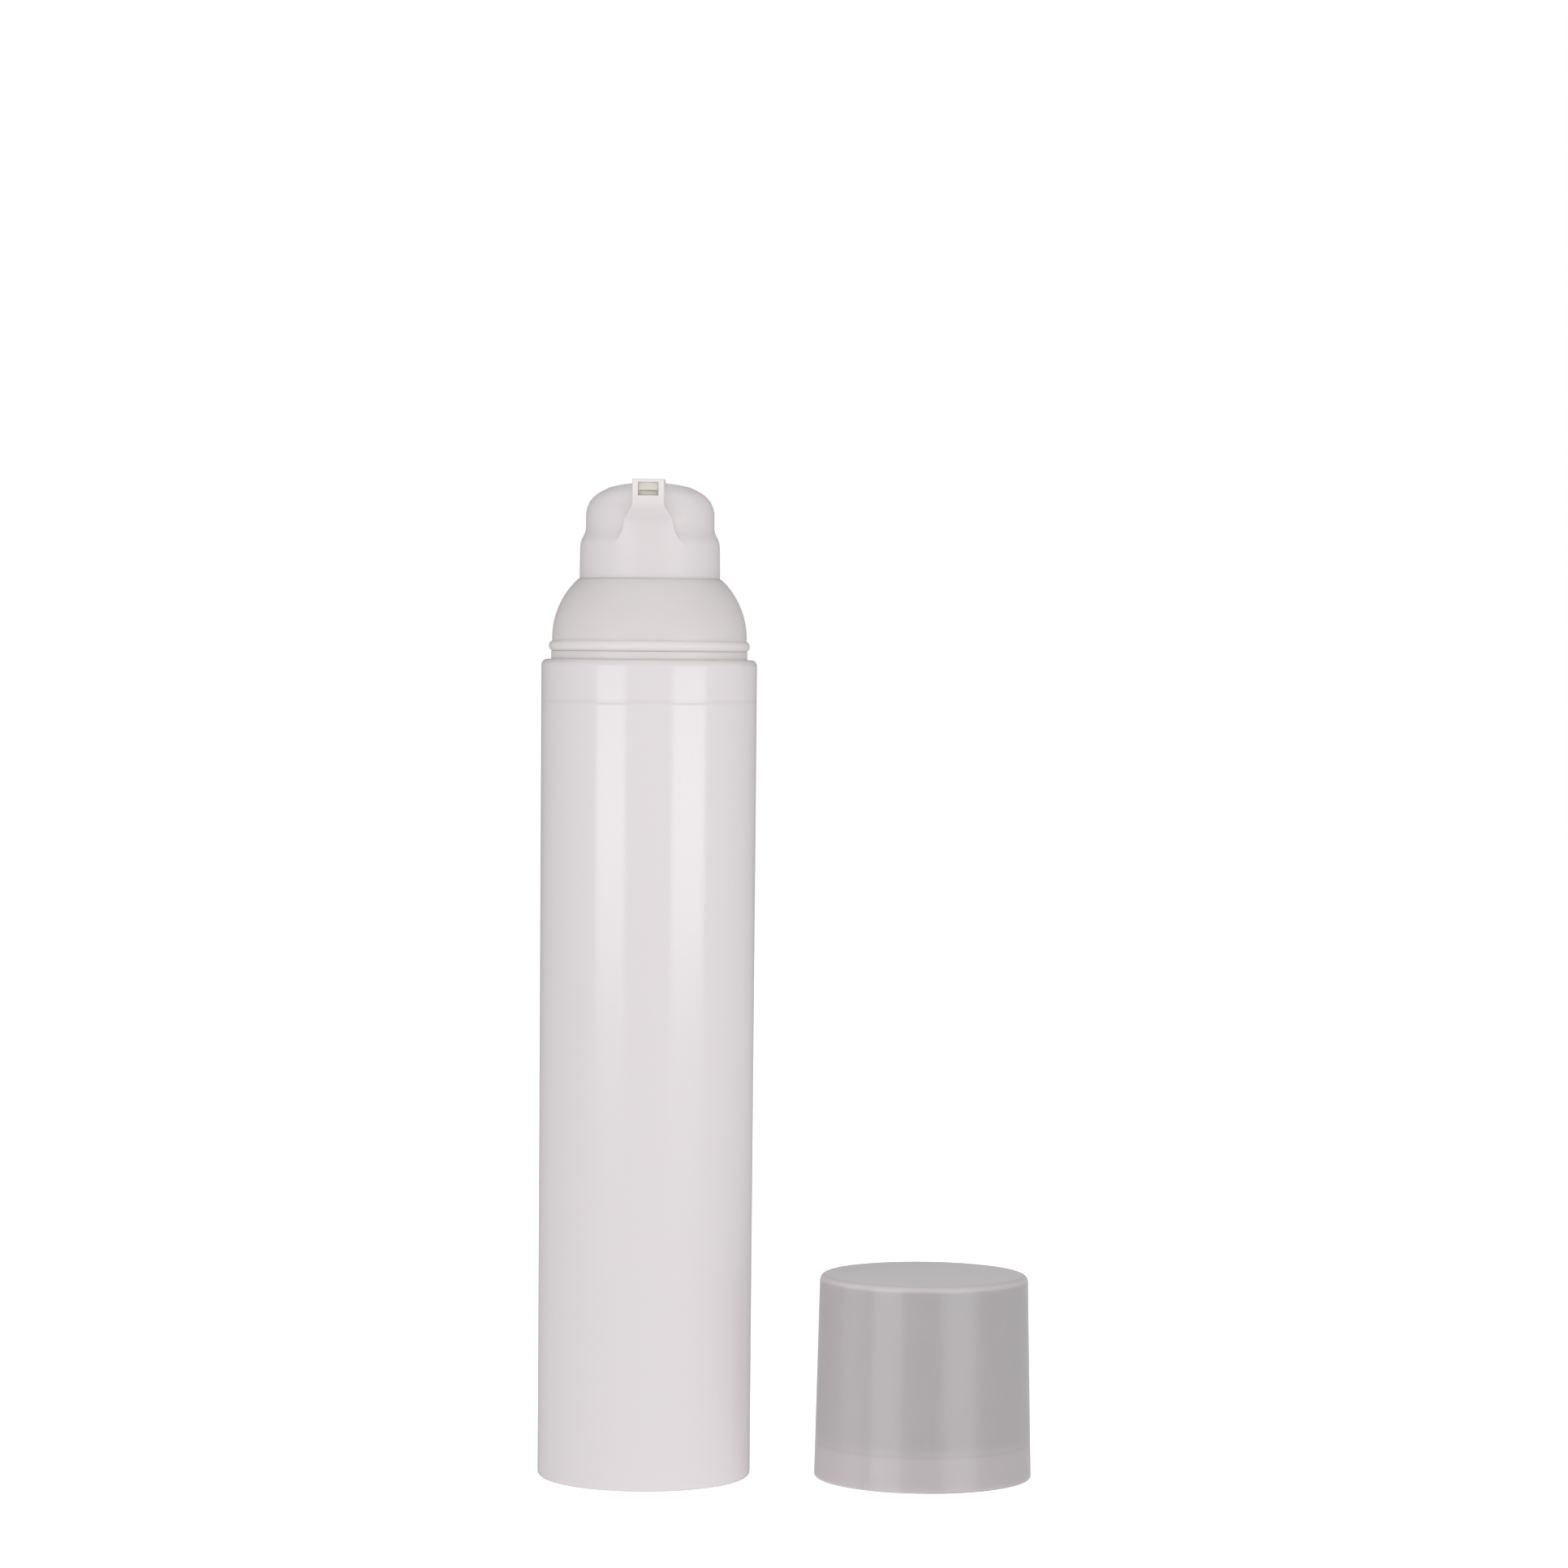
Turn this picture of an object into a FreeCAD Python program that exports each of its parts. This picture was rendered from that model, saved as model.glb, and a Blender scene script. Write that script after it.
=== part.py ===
import FreeCAD, Part
import math
import os
import Sketcher

# Airless pump bottle, millimetres, +Z up, origin on the floor at the bottle's axis.
# The nozzle faces -Y, and the cap stands beside the bottle on +X.

# Driving sizes

SIZES = {
    # container
    "container_height": 151.85,
    "rim_radius": 20.0,
    "rim_wall": 1.7,
    "wall_draft": 0.23,
    "rim_round": 1.1,
    "foot_round": 0.9,
    "mouth_depth": 7.7,
    "ledge_width": 1.1,
    "floor_thickness": 1.8,
    "foot_ring_width": 2.4,
    "foot_recess": 0.9,
    "vent_radius": 0.6,
    "vent_offset": 8.5,
    "gate_radius": 1.8,
    "gate_depth": 0.35,
    # fits
    "plug_clearance": 0.1,
    "slide_clearance": 0.05,
    "body_gap": 0.3,
    "overrun": 1.0,
    # snap ring
    "neck_show": 1.5,
    "plug_wall": 1.8,
    "spigot_step": 1.3,
    "spigot_wall": 1.2,
    "spigot_height": 3.4,
    "deck_drop": 0.7,
    "deck_thickness": 1.4,
    "snap_height": 1.3,
    "snap_depth": 0.3,
    "snap_below_rim": 3.2,
    "nest_wall": 1.0,
    "nest_height": 3.0,
    "neck_gasket_thickness": 0.8,
    # shoulder
    "shoulder_wall": 1.0,
    "bead_height": 1.95,
    "bead_swell": 0.62,
    "dome_rise": 0.45,
    "dome_step": 0.05,
    "dome_radius": 15.0,
    "dome_wall": 1.2,
    "guide_inset": 3.6,
    "guide_wall": 1.2,
    "guide_depth": 4.5,
    # actuator
    "press_travel": 5.5,
    "press_reserve": 0.35,
    "skirt_clearance": 0.2,
    "skirt_draft": 0.16,
    "skirt_engagement": 5.6,
    "skirt_wall": 1.3,
    "step_width": 1.04,
    "step_height": 3.9,
    "head_wall": 1.3,
    "head_side_height": 1.95,
    "head_corner": 5.0,
    "crown_angle": 30.0,
    "dish_drop": 1.11,
    "dish_long_radius": 40.0,
    "dish_cross_radius": 60.0,
    "roof_thickness": 3.0,
    "roof_round": 1.0,
    "hub_radius": 4.4,
    "rib_thickness": 0.9,
    "rib_height": 4.6,
    # nozzle
    "nozzle_overhang": 2.36,
    "nozzle_side_margin": 0.37,
    "nozzle_under_height": 3.0,
    "nozzle_bend_round": 1.2,
    "nozzle_side_drop": 0.7,
    "nozzle_crown_drop": 0.41,
    "nozzle_edge": 0.35,
    "panel_spread": 1.5,
    "panel_flare": 6.2,
    "orifice_width": 3.7,
    "orifice_height": 2.45,
    "orifice_top_wall": 0.6,
    "orifice_side_wall": 1.07,
    "orifice_foot_wall": 1.15,
    "insert_length": 5.2,
    "insert_recess": 0.55,
    "insert_clearance": 0.03,
    "slot_side_wall": 0.3,
    "slot_height": 1.15,
    "slot_floor": 0.2,
    "insert_step_height": 0.98,
    "insert_step_depth": 0.85,
    "insert_duct_drop": 0.03,
    "insert_duct_height": 0.8,
    "insert_front_wall": 0.4,
    # pump cylinder
    "cylinder_radius": 6.0,
    "cylinder_wall": 1.0,
    "stroke_reserve": 0.2,
    "flange_width": 2.4,
    "flange_thickness": 1.0,
    "cylinder_gasket_thickness": 0.6,
    "valve_wall": 1.2,
    "cage_clearance": 0.5,
    "cage_lip": 0.4,
    "cage_lip_reach": 0.8,
    "inlet_radius": 1.0,
    "inlet_length": 1.3,
    "inlet_ball_radius": 1.6,
    "inlet_lift": 0.9,
    "ball_seat_gap": 0.02,
    # cylinder cap
    "cylinder_cap_thickness": 1.2,
    "cap_plug_depth": 2.0,
    "cap_plug_wall": 1.0,
    "spring_seat_depth": 0.8,
    # stem, piston and retainer
    "stem_radius": 2.6,
    "stem_bore": 1.0,
    "stem_engagement": 7.0,
    "stem_collar_thickness": 0.8,
    "stem_shoulder_width": 0.7,
    "stem_shoulder_height": 1.5,
    "socket_wall": 0.9,
    "retainer_spigot_length": 3.0,
    "retainer_bore": 0.8,
    "retainer_gap": 1.2,
    "retainer_thickness": 1.2,
    "retainer_notch": 1.4,
    "piston_height": 5.5,
    "piston_sleeve": 1.0,
    "piston_web": 1.2,
    "piston_lip": 0.55,
    "piston_lip_flare": 0.35,
    "outlet_ball_radius": 1.5,
    "outlet_lift": 0.8,
    "outlet_cage_clearance": 0.25,
    "outlet_stop_overlap": 0.2,
    # return spring
    "spring_length": 10.4,
    "spring_wire": 0.7,
    "spring_clearance": 0.7,
    # follower piston
    "follower_wall": 1.2,
    "follower_lip_height": 2.6,
    "follower_lip_flare": 0.55,
    "follower_web_drop": 2.2,
    "follower_well_floor": 3.2,
    "well_clearance": 1.2,
    # cap
    "cap_clearance": 0.18,
    "cap_head_room": 3.05,
    "cap_draft": 0.8,
    "cap_round": 1.2,
    "cap_foot_round": 0.35,
    "cap_step_height": 6.6,
    "cap_foot_wall": 1.4,
    "cap_wall": 1.9,
    "cap_roof": 1.7,
    "cap_inner_round": 1.0,
    "cap_snap_height": 1.0,
    "cap_snap_rise": 0.32,
    "cap_snap_level": 1.2,
    "cap_stand_gap": 11.8,
    "cap_stand_back": 1.0,
}

SPRING_TURNS = 5.5
SPRING_CLOSED_TURNS = 1.0
SPRING_CLOSED_PITCH_SHARE = 1.7
SPRING_LEAD_SHARE = 0.5
QUARTERS = 4
RIB_COUNT = 4
NOTCH_COUNT = 4
NEAR_SHARE = 0.000005

doc = FreeCAD.newDocument("AirlessPumpBottle")
sheet = doc.addObject("Spreadsheet::Sheet", "Sizes")
for row, (alias, number) in enumerate(SIZES.items(), start=1):
    sheet.set(f"A{row}", alias)
    sheet.set(f"B{row}", str(number))
    sheet.setAlias(f"B{row}", alias)
doc.recompute()


# Levels and radii that follow from the driving sizes, as expressions, from the mouth inwards and up

MOUTH_RADIUS = "(Sizes.rim_radius - Sizes.rim_wall)"
BORE_RADIUS = f"({MOUTH_RADIUS} - Sizes.ledge_width)"
LEDGE = "(Sizes.container_height - Sizes.mouth_depth)"
FLOOR_TOP = "(Sizes.foot_recess + Sizes.floor_thickness)"
PLUG_RADIUS = f"({MOUTH_RADIUS} - Sizes.plug_clearance)"
PLUG_BORE = f"({PLUG_RADIUS} - Sizes.plug_wall)"
PLUG_FOOT = f"({LEDGE} + Sizes.neck_gasket_thickness)"
SNAP_LEVEL = "(Sizes.container_height - Sizes.snap_below_rim)"
NECK_TOP = "(Sizes.container_height + Sizes.neck_show)"
SPIGOT_RADIUS = f"({PLUG_RADIUS} - Sizes.spigot_step)"
SHOULDER_BORE = f"({SPIGOT_RADIUS} + Sizes.plug_clearance)"
DECK_TOP = "(Sizes.container_height - Sizes.deck_drop)"
DECK_FOOT = f"({DECK_TOP} - Sizes.deck_thickness)"

BEAD_FOOT_RADIUS = f"({SHOULDER_BORE} + Sizes.shoulder_wall)"
BEAD_RADIUS = f"({BEAD_FOOT_RADIUS} + Sizes.bead_swell)"
DOME_FOOT_RADIUS = f"({BEAD_FOOT_RADIUS} + Sizes.dome_step)"
DOME_CENTRE_RADIUS = f"({DOME_FOOT_RADIUS} - Sizes.dome_radius)"
DOME_LEVEL = f"({NECK_TOP} + Sizes.bead_height + Sizes.dome_rise)"
GUIDE_RADIUS = f"({SPIGOT_RADIUS} - Sizes.guide_inset)"
OPENING_REACH = f"({GUIDE_RADIUS} - {DOME_CENTRE_RADIUS})"
OPENING_TOP = f"({DOME_LEVEL} + sqrt(Sizes.dome_radius ^ 2 - {OPENING_REACH} ^ 2))"

BARREL_RADIUS = "(Sizes.cylinder_radius + Sizes.cylinder_wall)"
FLANGE_RADIUS = f"({BARREL_RADIUS} + Sizes.flange_width)"
NEST_BORE = f"({FLANGE_RADIUS} + Sizes.plug_clearance)"
FLANGE_FOOT = f"({DECK_TOP} + Sizes.cylinder_gasket_thickness)"
FLANGE_TOP = f"({FLANGE_FOOT} + Sizes.flange_thickness)"
CYLINDER_CAP_TOP = f"({FLANGE_TOP} + Sizes.cylinder_cap_thickness)"
SPRING_SEAT = f"({CYLINDER_CAP_TOP} - Sizes.spring_seat_depth)"
SPRING_RADIUS = "(Sizes.stem_radius + Sizes.spring_clearance + Sizes.spring_wire / 2)"
COLLAR_FOOT = f"({SPRING_SEAT} + Sizes.spring_length)"
HUB_FOOT = f"({COLLAR_FOOT} + Sizes.stem_collar_thickness)"
STEM_TOP = f"({HUB_FOOT} + Sizes.stem_engagement)"
PISTON_TOP = f"({FLANGE_TOP} - Sizes.cap_plug_depth - Sizes.body_gap)"
PISTON_FOOT = f"({PISTON_TOP} - Sizes.piston_height)"
RETAINER_FOOT = f"({PISTON_FOOT} - Sizes.retainer_thickness)"
RETAINER_SOCKET = "(Sizes.stem_radius - Sizes.socket_wall)"
RETAINER_RADIUS = "(Sizes.cylinder_radius - Sizes.retainer_gap)"
CYLINDER_FLOOR = f"({RETAINER_FOOT} - Sizes.press_travel - Sizes.stroke_reserve)"
CAGE_RADIUS = "(Sizes.inlet_ball_radius + Sizes.cage_clearance)"
CAGE_TOP = f"({CYLINDER_FLOOR} - Sizes.cage_lip)"
INLET_SEAT_DROP = "((Sizes.inlet_ball_radius + Sizes.ball_seat_gap) * sqrt(2) - Sizes.inlet_radius)"
INLET_BALL_TOP = f"({CAGE_TOP} - Sizes.slide_clearance - Sizes.inlet_lift)"
INLET_BALL_LEVEL = f"({INLET_BALL_TOP} - Sizes.inlet_ball_radius)"
INLET_CONE = f"({INLET_BALL_LEVEL} - {INLET_SEAT_DROP})"
PUMP_FOOT = f"({INLET_CONE} - Sizes.inlet_length)"
OUTLET_CAGE_RADIUS = "(Sizes.outlet_ball_radius + Sizes.outlet_cage_clearance)"
FLOW_RADIUS = "(Sizes.outlet_ball_radius - Sizes.outlet_stop_overlap)"
OUTLET_STOP_DROP = f"sqrt(Sizes.outlet_ball_radius ^ 2 - {FLOW_RADIUS} ^ 2)"
OUTLET_BALL_LEVEL = f"({STEM_TOP} - {OUTLET_STOP_DROP} - Sizes.slide_clearance - Sizes.outlet_lift)"
OUTLET_SEAT_DROP = "((Sizes.outlet_ball_radius + Sizes.ball_seat_gap) * sqrt(2) - Sizes.stem_bore)"
OUTLET_CONE = f"({OUTLET_BALL_LEVEL} - {OUTLET_SEAT_DROP})"

SKIRT_FOOT_RADIUS = f"({GUIDE_RADIUS} - Sizes.skirt_clearance)"
SKIRT_TOP_RADIUS = f"({SKIRT_FOOT_RADIUS} - Sizes.skirt_draft)"
SKIRT_FOOT = f"({OPENING_TOP} - Sizes.skirt_engagement)"
STEP_FOOT = f"({OPENING_TOP} + Sizes.press_travel + Sizes.press_reserve)"
HEAD_RADIUS = f"({SKIRT_TOP_RADIUS} - Sizes.step_width)"
HEAD_FOOT = f"({STEP_FOOT} + Sizes.step_height)"
CORNER_LEVEL = f"({HEAD_FOOT} + Sizes.head_side_height)"
CROWN_EDGE_RADIUS = f"({HEAD_RADIUS} - Sizes.head_corner * (1 - sin(Sizes.crown_angle)))"
CROWN_EDGE_LEVEL = f"({CORNER_LEVEL} + Sizes.head_corner * cos(Sizes.crown_angle))"
CROWN_RADIUS = f"({CROWN_EDGE_RADIUS} / sin(Sizes.crown_angle))"
CROWN_TOP = f"({CROWN_EDGE_LEVEL} + {CROWN_RADIUS} * (1 - cos(Sizes.crown_angle)))"
DISH_LEVEL = f"({CROWN_TOP} - Sizes.dish_drop)"
ROOF_LEVEL = f"({DISH_LEVEL} - Sizes.roof_thickness)"

NOZZLE_WIDTH = "(Sizes.orifice_width + 2 * Sizes.orifice_side_wall)"
NOZZLE_REACH = f"({SKIRT_TOP_RADIUS} + Sizes.nozzle_overhang)"
NOZZLE_CORNER = f"sqrt({NOZZLE_REACH} ^ 2 + ({NOZZLE_WIDTH} / 2 + Sizes.nozzle_side_margin) ^ 2)"
NOZZLE_TOP = f"({CROWN_TOP} - Sizes.nozzle_crown_drop)"
ORIFICE_TOP = f"({NOZZLE_TOP} - Sizes.orifice_top_wall)"
ORIFICE_FOOT = f"({ORIFICE_TOP} - Sizes.orifice_height)"
NOZZLE_FOOT = f"({ORIFICE_FOOT} - Sizes.orifice_foot_wall)"
NOZZLE_BEND = f"({NOZZLE_FOOT} - Sizes.nozzle_under_height)"
PANEL_WIDTH = f"({NOZZLE_WIDTH} + 2 * Sizes.panel_spread)"
SLOT_WIDTH = "(Sizes.orifice_width - 2 * Sizes.slot_side_wall)"
SLOT_FOOT = f"({ORIFICE_FOOT} + Sizes.slot_floor)"
SLOT_TOP = f"({SLOT_FOOT} + Sizes.slot_height)"

WELL_RADIUS = f"({BARREL_RADIUS} + Sizes.well_clearance)"
WELL_DEPTH = f"({LEDGE} - {PUMP_FOOT})"
FOLLOWER_FOOT = f"({FLOOR_TOP} + Sizes.body_gap)"
FOLLOWER_HEIGHT = f"({WELL_DEPTH} + Sizes.follower_well_floor + Sizes.follower_wall)"

CAP_FOOT_BORE = f"({BEAD_RADIUS} + Sizes.cap_clearance)"
CAP_FOOT_RADIUS = f"({CAP_FOOT_BORE} + Sizes.cap_foot_wall)"
CAP_TOP_RADIUS = f"({CAP_FOOT_RADIUS} - Sizes.cap_draft)"
CAP_ROOF_LEVEL = f"({NOZZLE_TOP} - Sizes.container_height + Sizes.cap_head_room)"
CAP_HEIGHT = f"({CAP_ROOF_LEVEL} + Sizes.cap_roof)"


def size(expression):
    """The value of an expression of the sheet's sizes."""
    return float(sheet.evalExpression(expression))


def spot(point):
    """A point of an outline as a vector in its sketch."""
    return FreeCAD.Vector(size(point[0]), size(point[1]), 0)


def arc_edge(start, end, radius, turn):
    """The short arc from start to end, with its centre on the left where turn is 1."""
    chord = end - start
    lift = math.sqrt(max(radius ** 2 - (chord.Length / 2) ** 2, 0.0))
    left = FreeCAD.Vector(-chord.y, chord.x, 0).normalize()
    centre = (start + end) / 2 + left * lift * turn
    first, last = (start, end) if turn > 0 else (end, start)
    circle = Part.Circle(centre, FreeCAD.Vector(0, 0, 1), radius)
    first_angle = math.atan2(first.y - centre.y, first.x - centre.x)
    last_angle = math.atan2(last.y - centre.y, last.x - centre.x)
    return Part.ArcOfCircle(circle, first_angle, last_angle)


def pin(sketch, edge, end, axis, expression):
    """Holds one end of an edge at a distance from the sketch's origin."""
    value = size(expression)
    if expression == "0":
        sketch.addConstraint(Sketcher.Constraint("PointOnObject", edge, end, -2 if axis == "X" else -1))
        return
    if value > 0:
        constraint = Sketcher.Constraint("Distance" + axis, -1, 1, edge, end, value)
        bound = expression
    else:
        constraint = Sketcher.Constraint("Distance" + axis, edge, end, -1, 1, -value)
        bound = f"-({expression})"
    number = sketch.addConstraint(constraint)
    sketch.setExpression(f"Constraints[{number}]", bound)


def draw(sketch, points):
    """Adds one closed outline. A point is (x, y), or (x, y, radius, turn) where an arc leads to it."""
    ends = []
    for index, point in enumerate(points):
        start = spot(points[index - 1])
        end = spot(point)
        if len(point) == 2:
            edge = sketch.addGeometry(Part.LineSegment(start, end))
            ends.append((edge, 1, 2))
            continue
        edge = sketch.addGeometry(arc_edge(start, end, size(point[2]), point[3]))
        ends.append((edge, 1, 2) if point[3] > 0 else (edge, 2, 1))
    for index, (edge, _, last) in enumerate(ends):
        next_edge, next_first, _ = ends[(index + 1) % len(ends)]
        sketch.addConstraint(Sketcher.Constraint("Coincident", edge, last, next_edge, next_first))
    for (edge, _, last), point in zip(ends, points):
        pin(sketch, edge, last, "X", point[0])
        pin(sketch, edge, last, "Y", point[1])
        if len(point) > 2:
            number = sketch.addConstraint(Sketcher.Constraint("Radius", edge, size(point[2])))
            sketch.setExpression(f"Constraints[{number}]", point[2])


def new_sketch(body, name, role="XZ_Plane", offset=None):
    """A sketch on one of the body's own origin planes, moved along its normal by offset."""
    plane = [feature for feature in body.Origin.OriginFeatures if feature.Role == role][0]
    sketch = body.newObject("Sketcher::SketchObject", name)
    sketch.AttachmentSupport = [(plane, "")]
    sketch.MapMode = "FlatFace"
    if offset:
        sketch.setExpression("AttachmentOffset.Base.z", offset)
    return sketch


def new_body(name):
    body = doc.addObject("PartDesign::Body", name)
    body.Label = name
    return body


def turned(body, name, points, kind="PartDesign::Revolution"):
    """A full turn of an outline about the body's vertical axis."""
    sketch = new_sketch(body, name + "_outline")
    draw(sketch, points)
    feature = body.newObject(kind, name)
    feature.Profile = sketch
    feature.ReferenceAxis = (sketch, ["V_Axis"])
    feature.Angle = 360
    finish_cut(feature)
    return feature


def finish_cut(feature):
    """Recomputes the feature, and stops where a cut takes nothing away."""
    before = feature.BaseFeature.Shape.Volume if feature.BaseFeature else None
    doc.recompute()
    cuts = feature.TypeId in ("PartDesign::Groove", "PartDesign::Pocket")
    if cuts and not feature.Shape.Volume < before:
        raise RuntimeError(feature.Name + " cuts nothing")


def pocket(body, name, sketch, length, both_ways=False):
    feature = body.newObject("PartDesign::Pocket", name)
    feature.Profile = sketch
    feature.Type = "Length"
    if both_ways:
        feature.SideType = "Symmetric"
    feature.setExpression("Length", length)
    finish_cut(feature)
    return feature


def patterned(body, name, feature, count):
    """Repeats a feature round the body's vertical axis."""
    axis = [item for item in body.Origin.OriginFeatures if item.Role == "Z_Axis"][0]
    pattern = body.newObject("PartDesign::PolarPattern", name)
    pattern.Originals = [feature]
    pattern.Axis = (axis, [""])
    pattern.Angle = 360
    pattern.Occurrences = count
    body.Tip = pattern
    doc.recompute()
    return pattern


# Container: moulded cup with a stepped mouth, a foot ring and an air vent in its floor

def make_container():
    body = new_body("container")
    base_radius = "(Sizes.rim_radius - Sizes.wall_draft)"
    foot_inner = f"({base_radius} - Sizes.foot_round - Sizes.foot_ring_width)"
    groove = f"({MOUTH_RADIUS} + Sizes.snap_depth)"
    turned(body, "container_turning", [
        (foot_inner, "0"),
        (f"{base_radius} - Sizes.foot_round", "0"),
        (base_radius, "Sizes.foot_round", "Sizes.foot_round", 1),
        ("Sizes.rim_radius", "Sizes.container_height - Sizes.rim_round"),
        ("Sizes.rim_radius - Sizes.rim_round", "Sizes.container_height", "Sizes.rim_round", 1),
        (MOUTH_RADIUS, "Sizes.container_height"),
        (MOUTH_RADIUS, f"{SNAP_LEVEL} + Sizes.snap_height / 2"),
        (groove, f"{SNAP_LEVEL} + Sizes.snap_height / 2 - Sizes.snap_depth"),
        (groove, f"{SNAP_LEVEL} - Sizes.snap_height / 2 + Sizes.snap_depth"),
        (MOUTH_RADIUS, f"{SNAP_LEVEL} - Sizes.snap_height / 2"),
        (MOUTH_RADIUS, LEDGE),
        (BORE_RADIUS, LEDGE),
        (BORE_RADIUS, FLOOR_TOP),
        ("0", FLOOR_TOP),
        ("0", "Sizes.foot_recess + Sizes.gate_depth"),
        ("Sizes.gate_radius", "Sizes.foot_recess + Sizes.gate_depth"),
        ("Sizes.gate_radius", "Sizes.foot_recess"),
        (foot_inner, "Sizes.foot_recess"),
    ])
    vent = new_sketch(body, "vent_outline", "XY_Plane")
    circle = Part.Circle(FreeCAD.Vector(0, size("Sizes.vent_offset"), 0), FreeCAD.Vector(0, 0, 1),
                         size("Sizes.vent_radius"))
    edge = vent.addGeometry(circle)
    pin(vent, edge, 3, "X", "0")
    pin(vent, edge, 3, "Y", "Sizes.vent_offset")
    number = vent.addConstraint(Sketcher.Constraint("Radius", edge, size("Sizes.vent_radius")))
    vent.setExpression(f"Constraints[{number}]", "Sizes.vent_radius")
    pocket(body, "vent", vent, f"2 * ({FLOOR_TOP} + Sizes.overrun)", both_ways=True)
    return body


# Snap ring: inner collar with its plug, deck, nest for the pump's flange and spigot for the shoulder

def make_snap_ring():
    body = new_body("snap_ring")
    spigot_top = f"({NECK_TOP} + Sizes.spigot_height)"
    spigot_bore = f"({SPIGOT_RADIUS} - Sizes.spigot_wall)"
    nest_radius = f"({NEST_BORE} + Sizes.nest_wall)"
    nest_top = f"({DECK_TOP} + Sizes.nest_height)"
    snap_radius = f"({PLUG_RADIUS} + Sizes.snap_depth - Sizes.slide_clearance)"
    bead_level = f"({NECK_TOP} + Sizes.bead_height / 2)"
    bead_radius = f"({SPIGOT_RADIUS} + Sizes.snap_depth - Sizes.slide_clearance)"
    turned(body, "snap_ring_turning", [
        (PLUG_BORE, PLUG_FOOT),
        (PLUG_RADIUS, PLUG_FOOT),
        (PLUG_RADIUS, f"{SNAP_LEVEL} - Sizes.snap_height / 2 + Sizes.slide_clearance"),
        (snap_radius, f"{SNAP_LEVEL} - Sizes.snap_height / 2 + Sizes.snap_depth + Sizes.slide_clearance"),
        (snap_radius, f"{SNAP_LEVEL} + Sizes.snap_height / 2 - Sizes.snap_depth - Sizes.slide_clearance"),
        (PLUG_RADIUS, f"{SNAP_LEVEL} + Sizes.snap_height / 2 - Sizes.slide_clearance"),
        (PLUG_RADIUS, NECK_TOP),
        (SPIGOT_RADIUS, NECK_TOP),
        (SPIGOT_RADIUS, f"{bead_level} - Sizes.snap_height / 2 + Sizes.slide_clearance"),
        (bead_radius, f"{bead_level} - Sizes.snap_height / 2 + Sizes.snap_depth + Sizes.slide_clearance"),
        (bead_radius, f"{bead_level} + Sizes.snap_height / 2 - Sizes.snap_depth - Sizes.slide_clearance"),
        (SPIGOT_RADIUS, f"{bead_level} + Sizes.snap_height / 2 - Sizes.slide_clearance"),
        (SPIGOT_RADIUS, spigot_top),
        (spigot_bore, spigot_top),
        (spigot_bore, DECK_TOP),
        (nest_radius, DECK_TOP),
        (nest_radius, nest_top),
        (NEST_BORE, nest_top),
        (NEST_BORE, DECK_TOP),
        (f"{BARREL_RADIUS} + Sizes.plug_clearance", DECK_TOP),
        (f"{BARREL_RADIUS} + Sizes.plug_clearance", DECK_FOOT),
        (PLUG_BORE, DECK_FOOT),
    ])
    return body


# Shoulder: domed shell with a bead at its foot and a guide sleeve for the push button

def make_shoulder():
    body = new_body("shoulder")
    groove = f"({SHOULDER_BORE} + Sizes.snap_depth)"
    bead_top = f"({NECK_TOP} + Sizes.bead_height)"
    bead_level = f"({NECK_TOP} + Sizes.bead_height / 2)"
    bead_arc = "(((Sizes.bead_height / 2) ^ 2 + Sizes.bead_swell ^ 2) / (2 * Sizes.bead_swell))"
    inner_dome = "(Sizes.dome_radius - Sizes.dome_wall)"
    bore_top = f"({NECK_TOP} + Sizes.spigot_height + Sizes.plug_clearance)"
    inner_foot = f"{DOME_CENTRE_RADIUS} + sqrt({inner_dome} ^ 2 - ({bore_top} - {DOME_LEVEL}) ^ 2)"
    sleeve_radius = f"({GUIDE_RADIUS} + Sizes.guide_wall)"
    sleeve_top = f"{DOME_LEVEL} + sqrt({inner_dome} ^ 2 - ({sleeve_radius} - {DOME_CENTRE_RADIUS}) ^ 2)"
    turned(body, "shoulder_turning", [
        (SHOULDER_BORE, NECK_TOP),
        (BEAD_FOOT_RADIUS, NECK_TOP),
        (BEAD_FOOT_RADIUS, bead_top, bead_arc, 1),
        (DOME_FOOT_RADIUS, DOME_LEVEL),
        (GUIDE_RADIUS, OPENING_TOP, "Sizes.dome_radius", 1),
        (GUIDE_RADIUS, f"{OPENING_TOP} - Sizes.guide_depth"),
        (sleeve_radius, f"{OPENING_TOP} - Sizes.guide_depth"),
        (sleeve_radius, sleeve_top),
        (inner_foot, bore_top, inner_dome, -1),
        (SHOULDER_BORE, bore_top),
        (SHOULDER_BORE, f"{bead_level} + Sizes.snap_height / 2"),
        (groove, f"{bead_level} + Sizes.snap_height / 2 - Sizes.snap_depth"),
        (groove, f"{bead_level} - Sizes.snap_height / 2 + Sizes.snap_depth"),
        (SHOULDER_BORE, f"{bead_level} - Sizes.snap_height / 2"),
    ])
    return body


# Flat gaskets

def make_gasket(name, foot, thickness, outer, inner):
    """A flat ring cut from two cylinders."""
    disc = doc.addObject("Part::Cylinder", name + "_disc")
    disc.setExpression("Radius", outer)
    disc.setExpression("Height", thickness)
    disc.setExpression("Placement.Base.z", foot)
    hole = doc.addObject("Part::Cylinder", name + "_hole")
    hole.setExpression("Radius", inner)
    hole.setExpression("Height", f"{thickness} + 2 * Sizes.overrun")
    hole.setExpression("Placement.Base.z", f"{foot} - Sizes.overrun")
    ring = doc.addObject("Part::Cut", name)
    ring.Label = name
    ring.Base = disc
    ring.Tool = hole
    return ring


def make_neck_gasket():
    return make_gasket("neck_gasket", LEDGE, "Sizes.neck_gasket_thickness", PLUG_RADIUS, PLUG_BORE)


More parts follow.
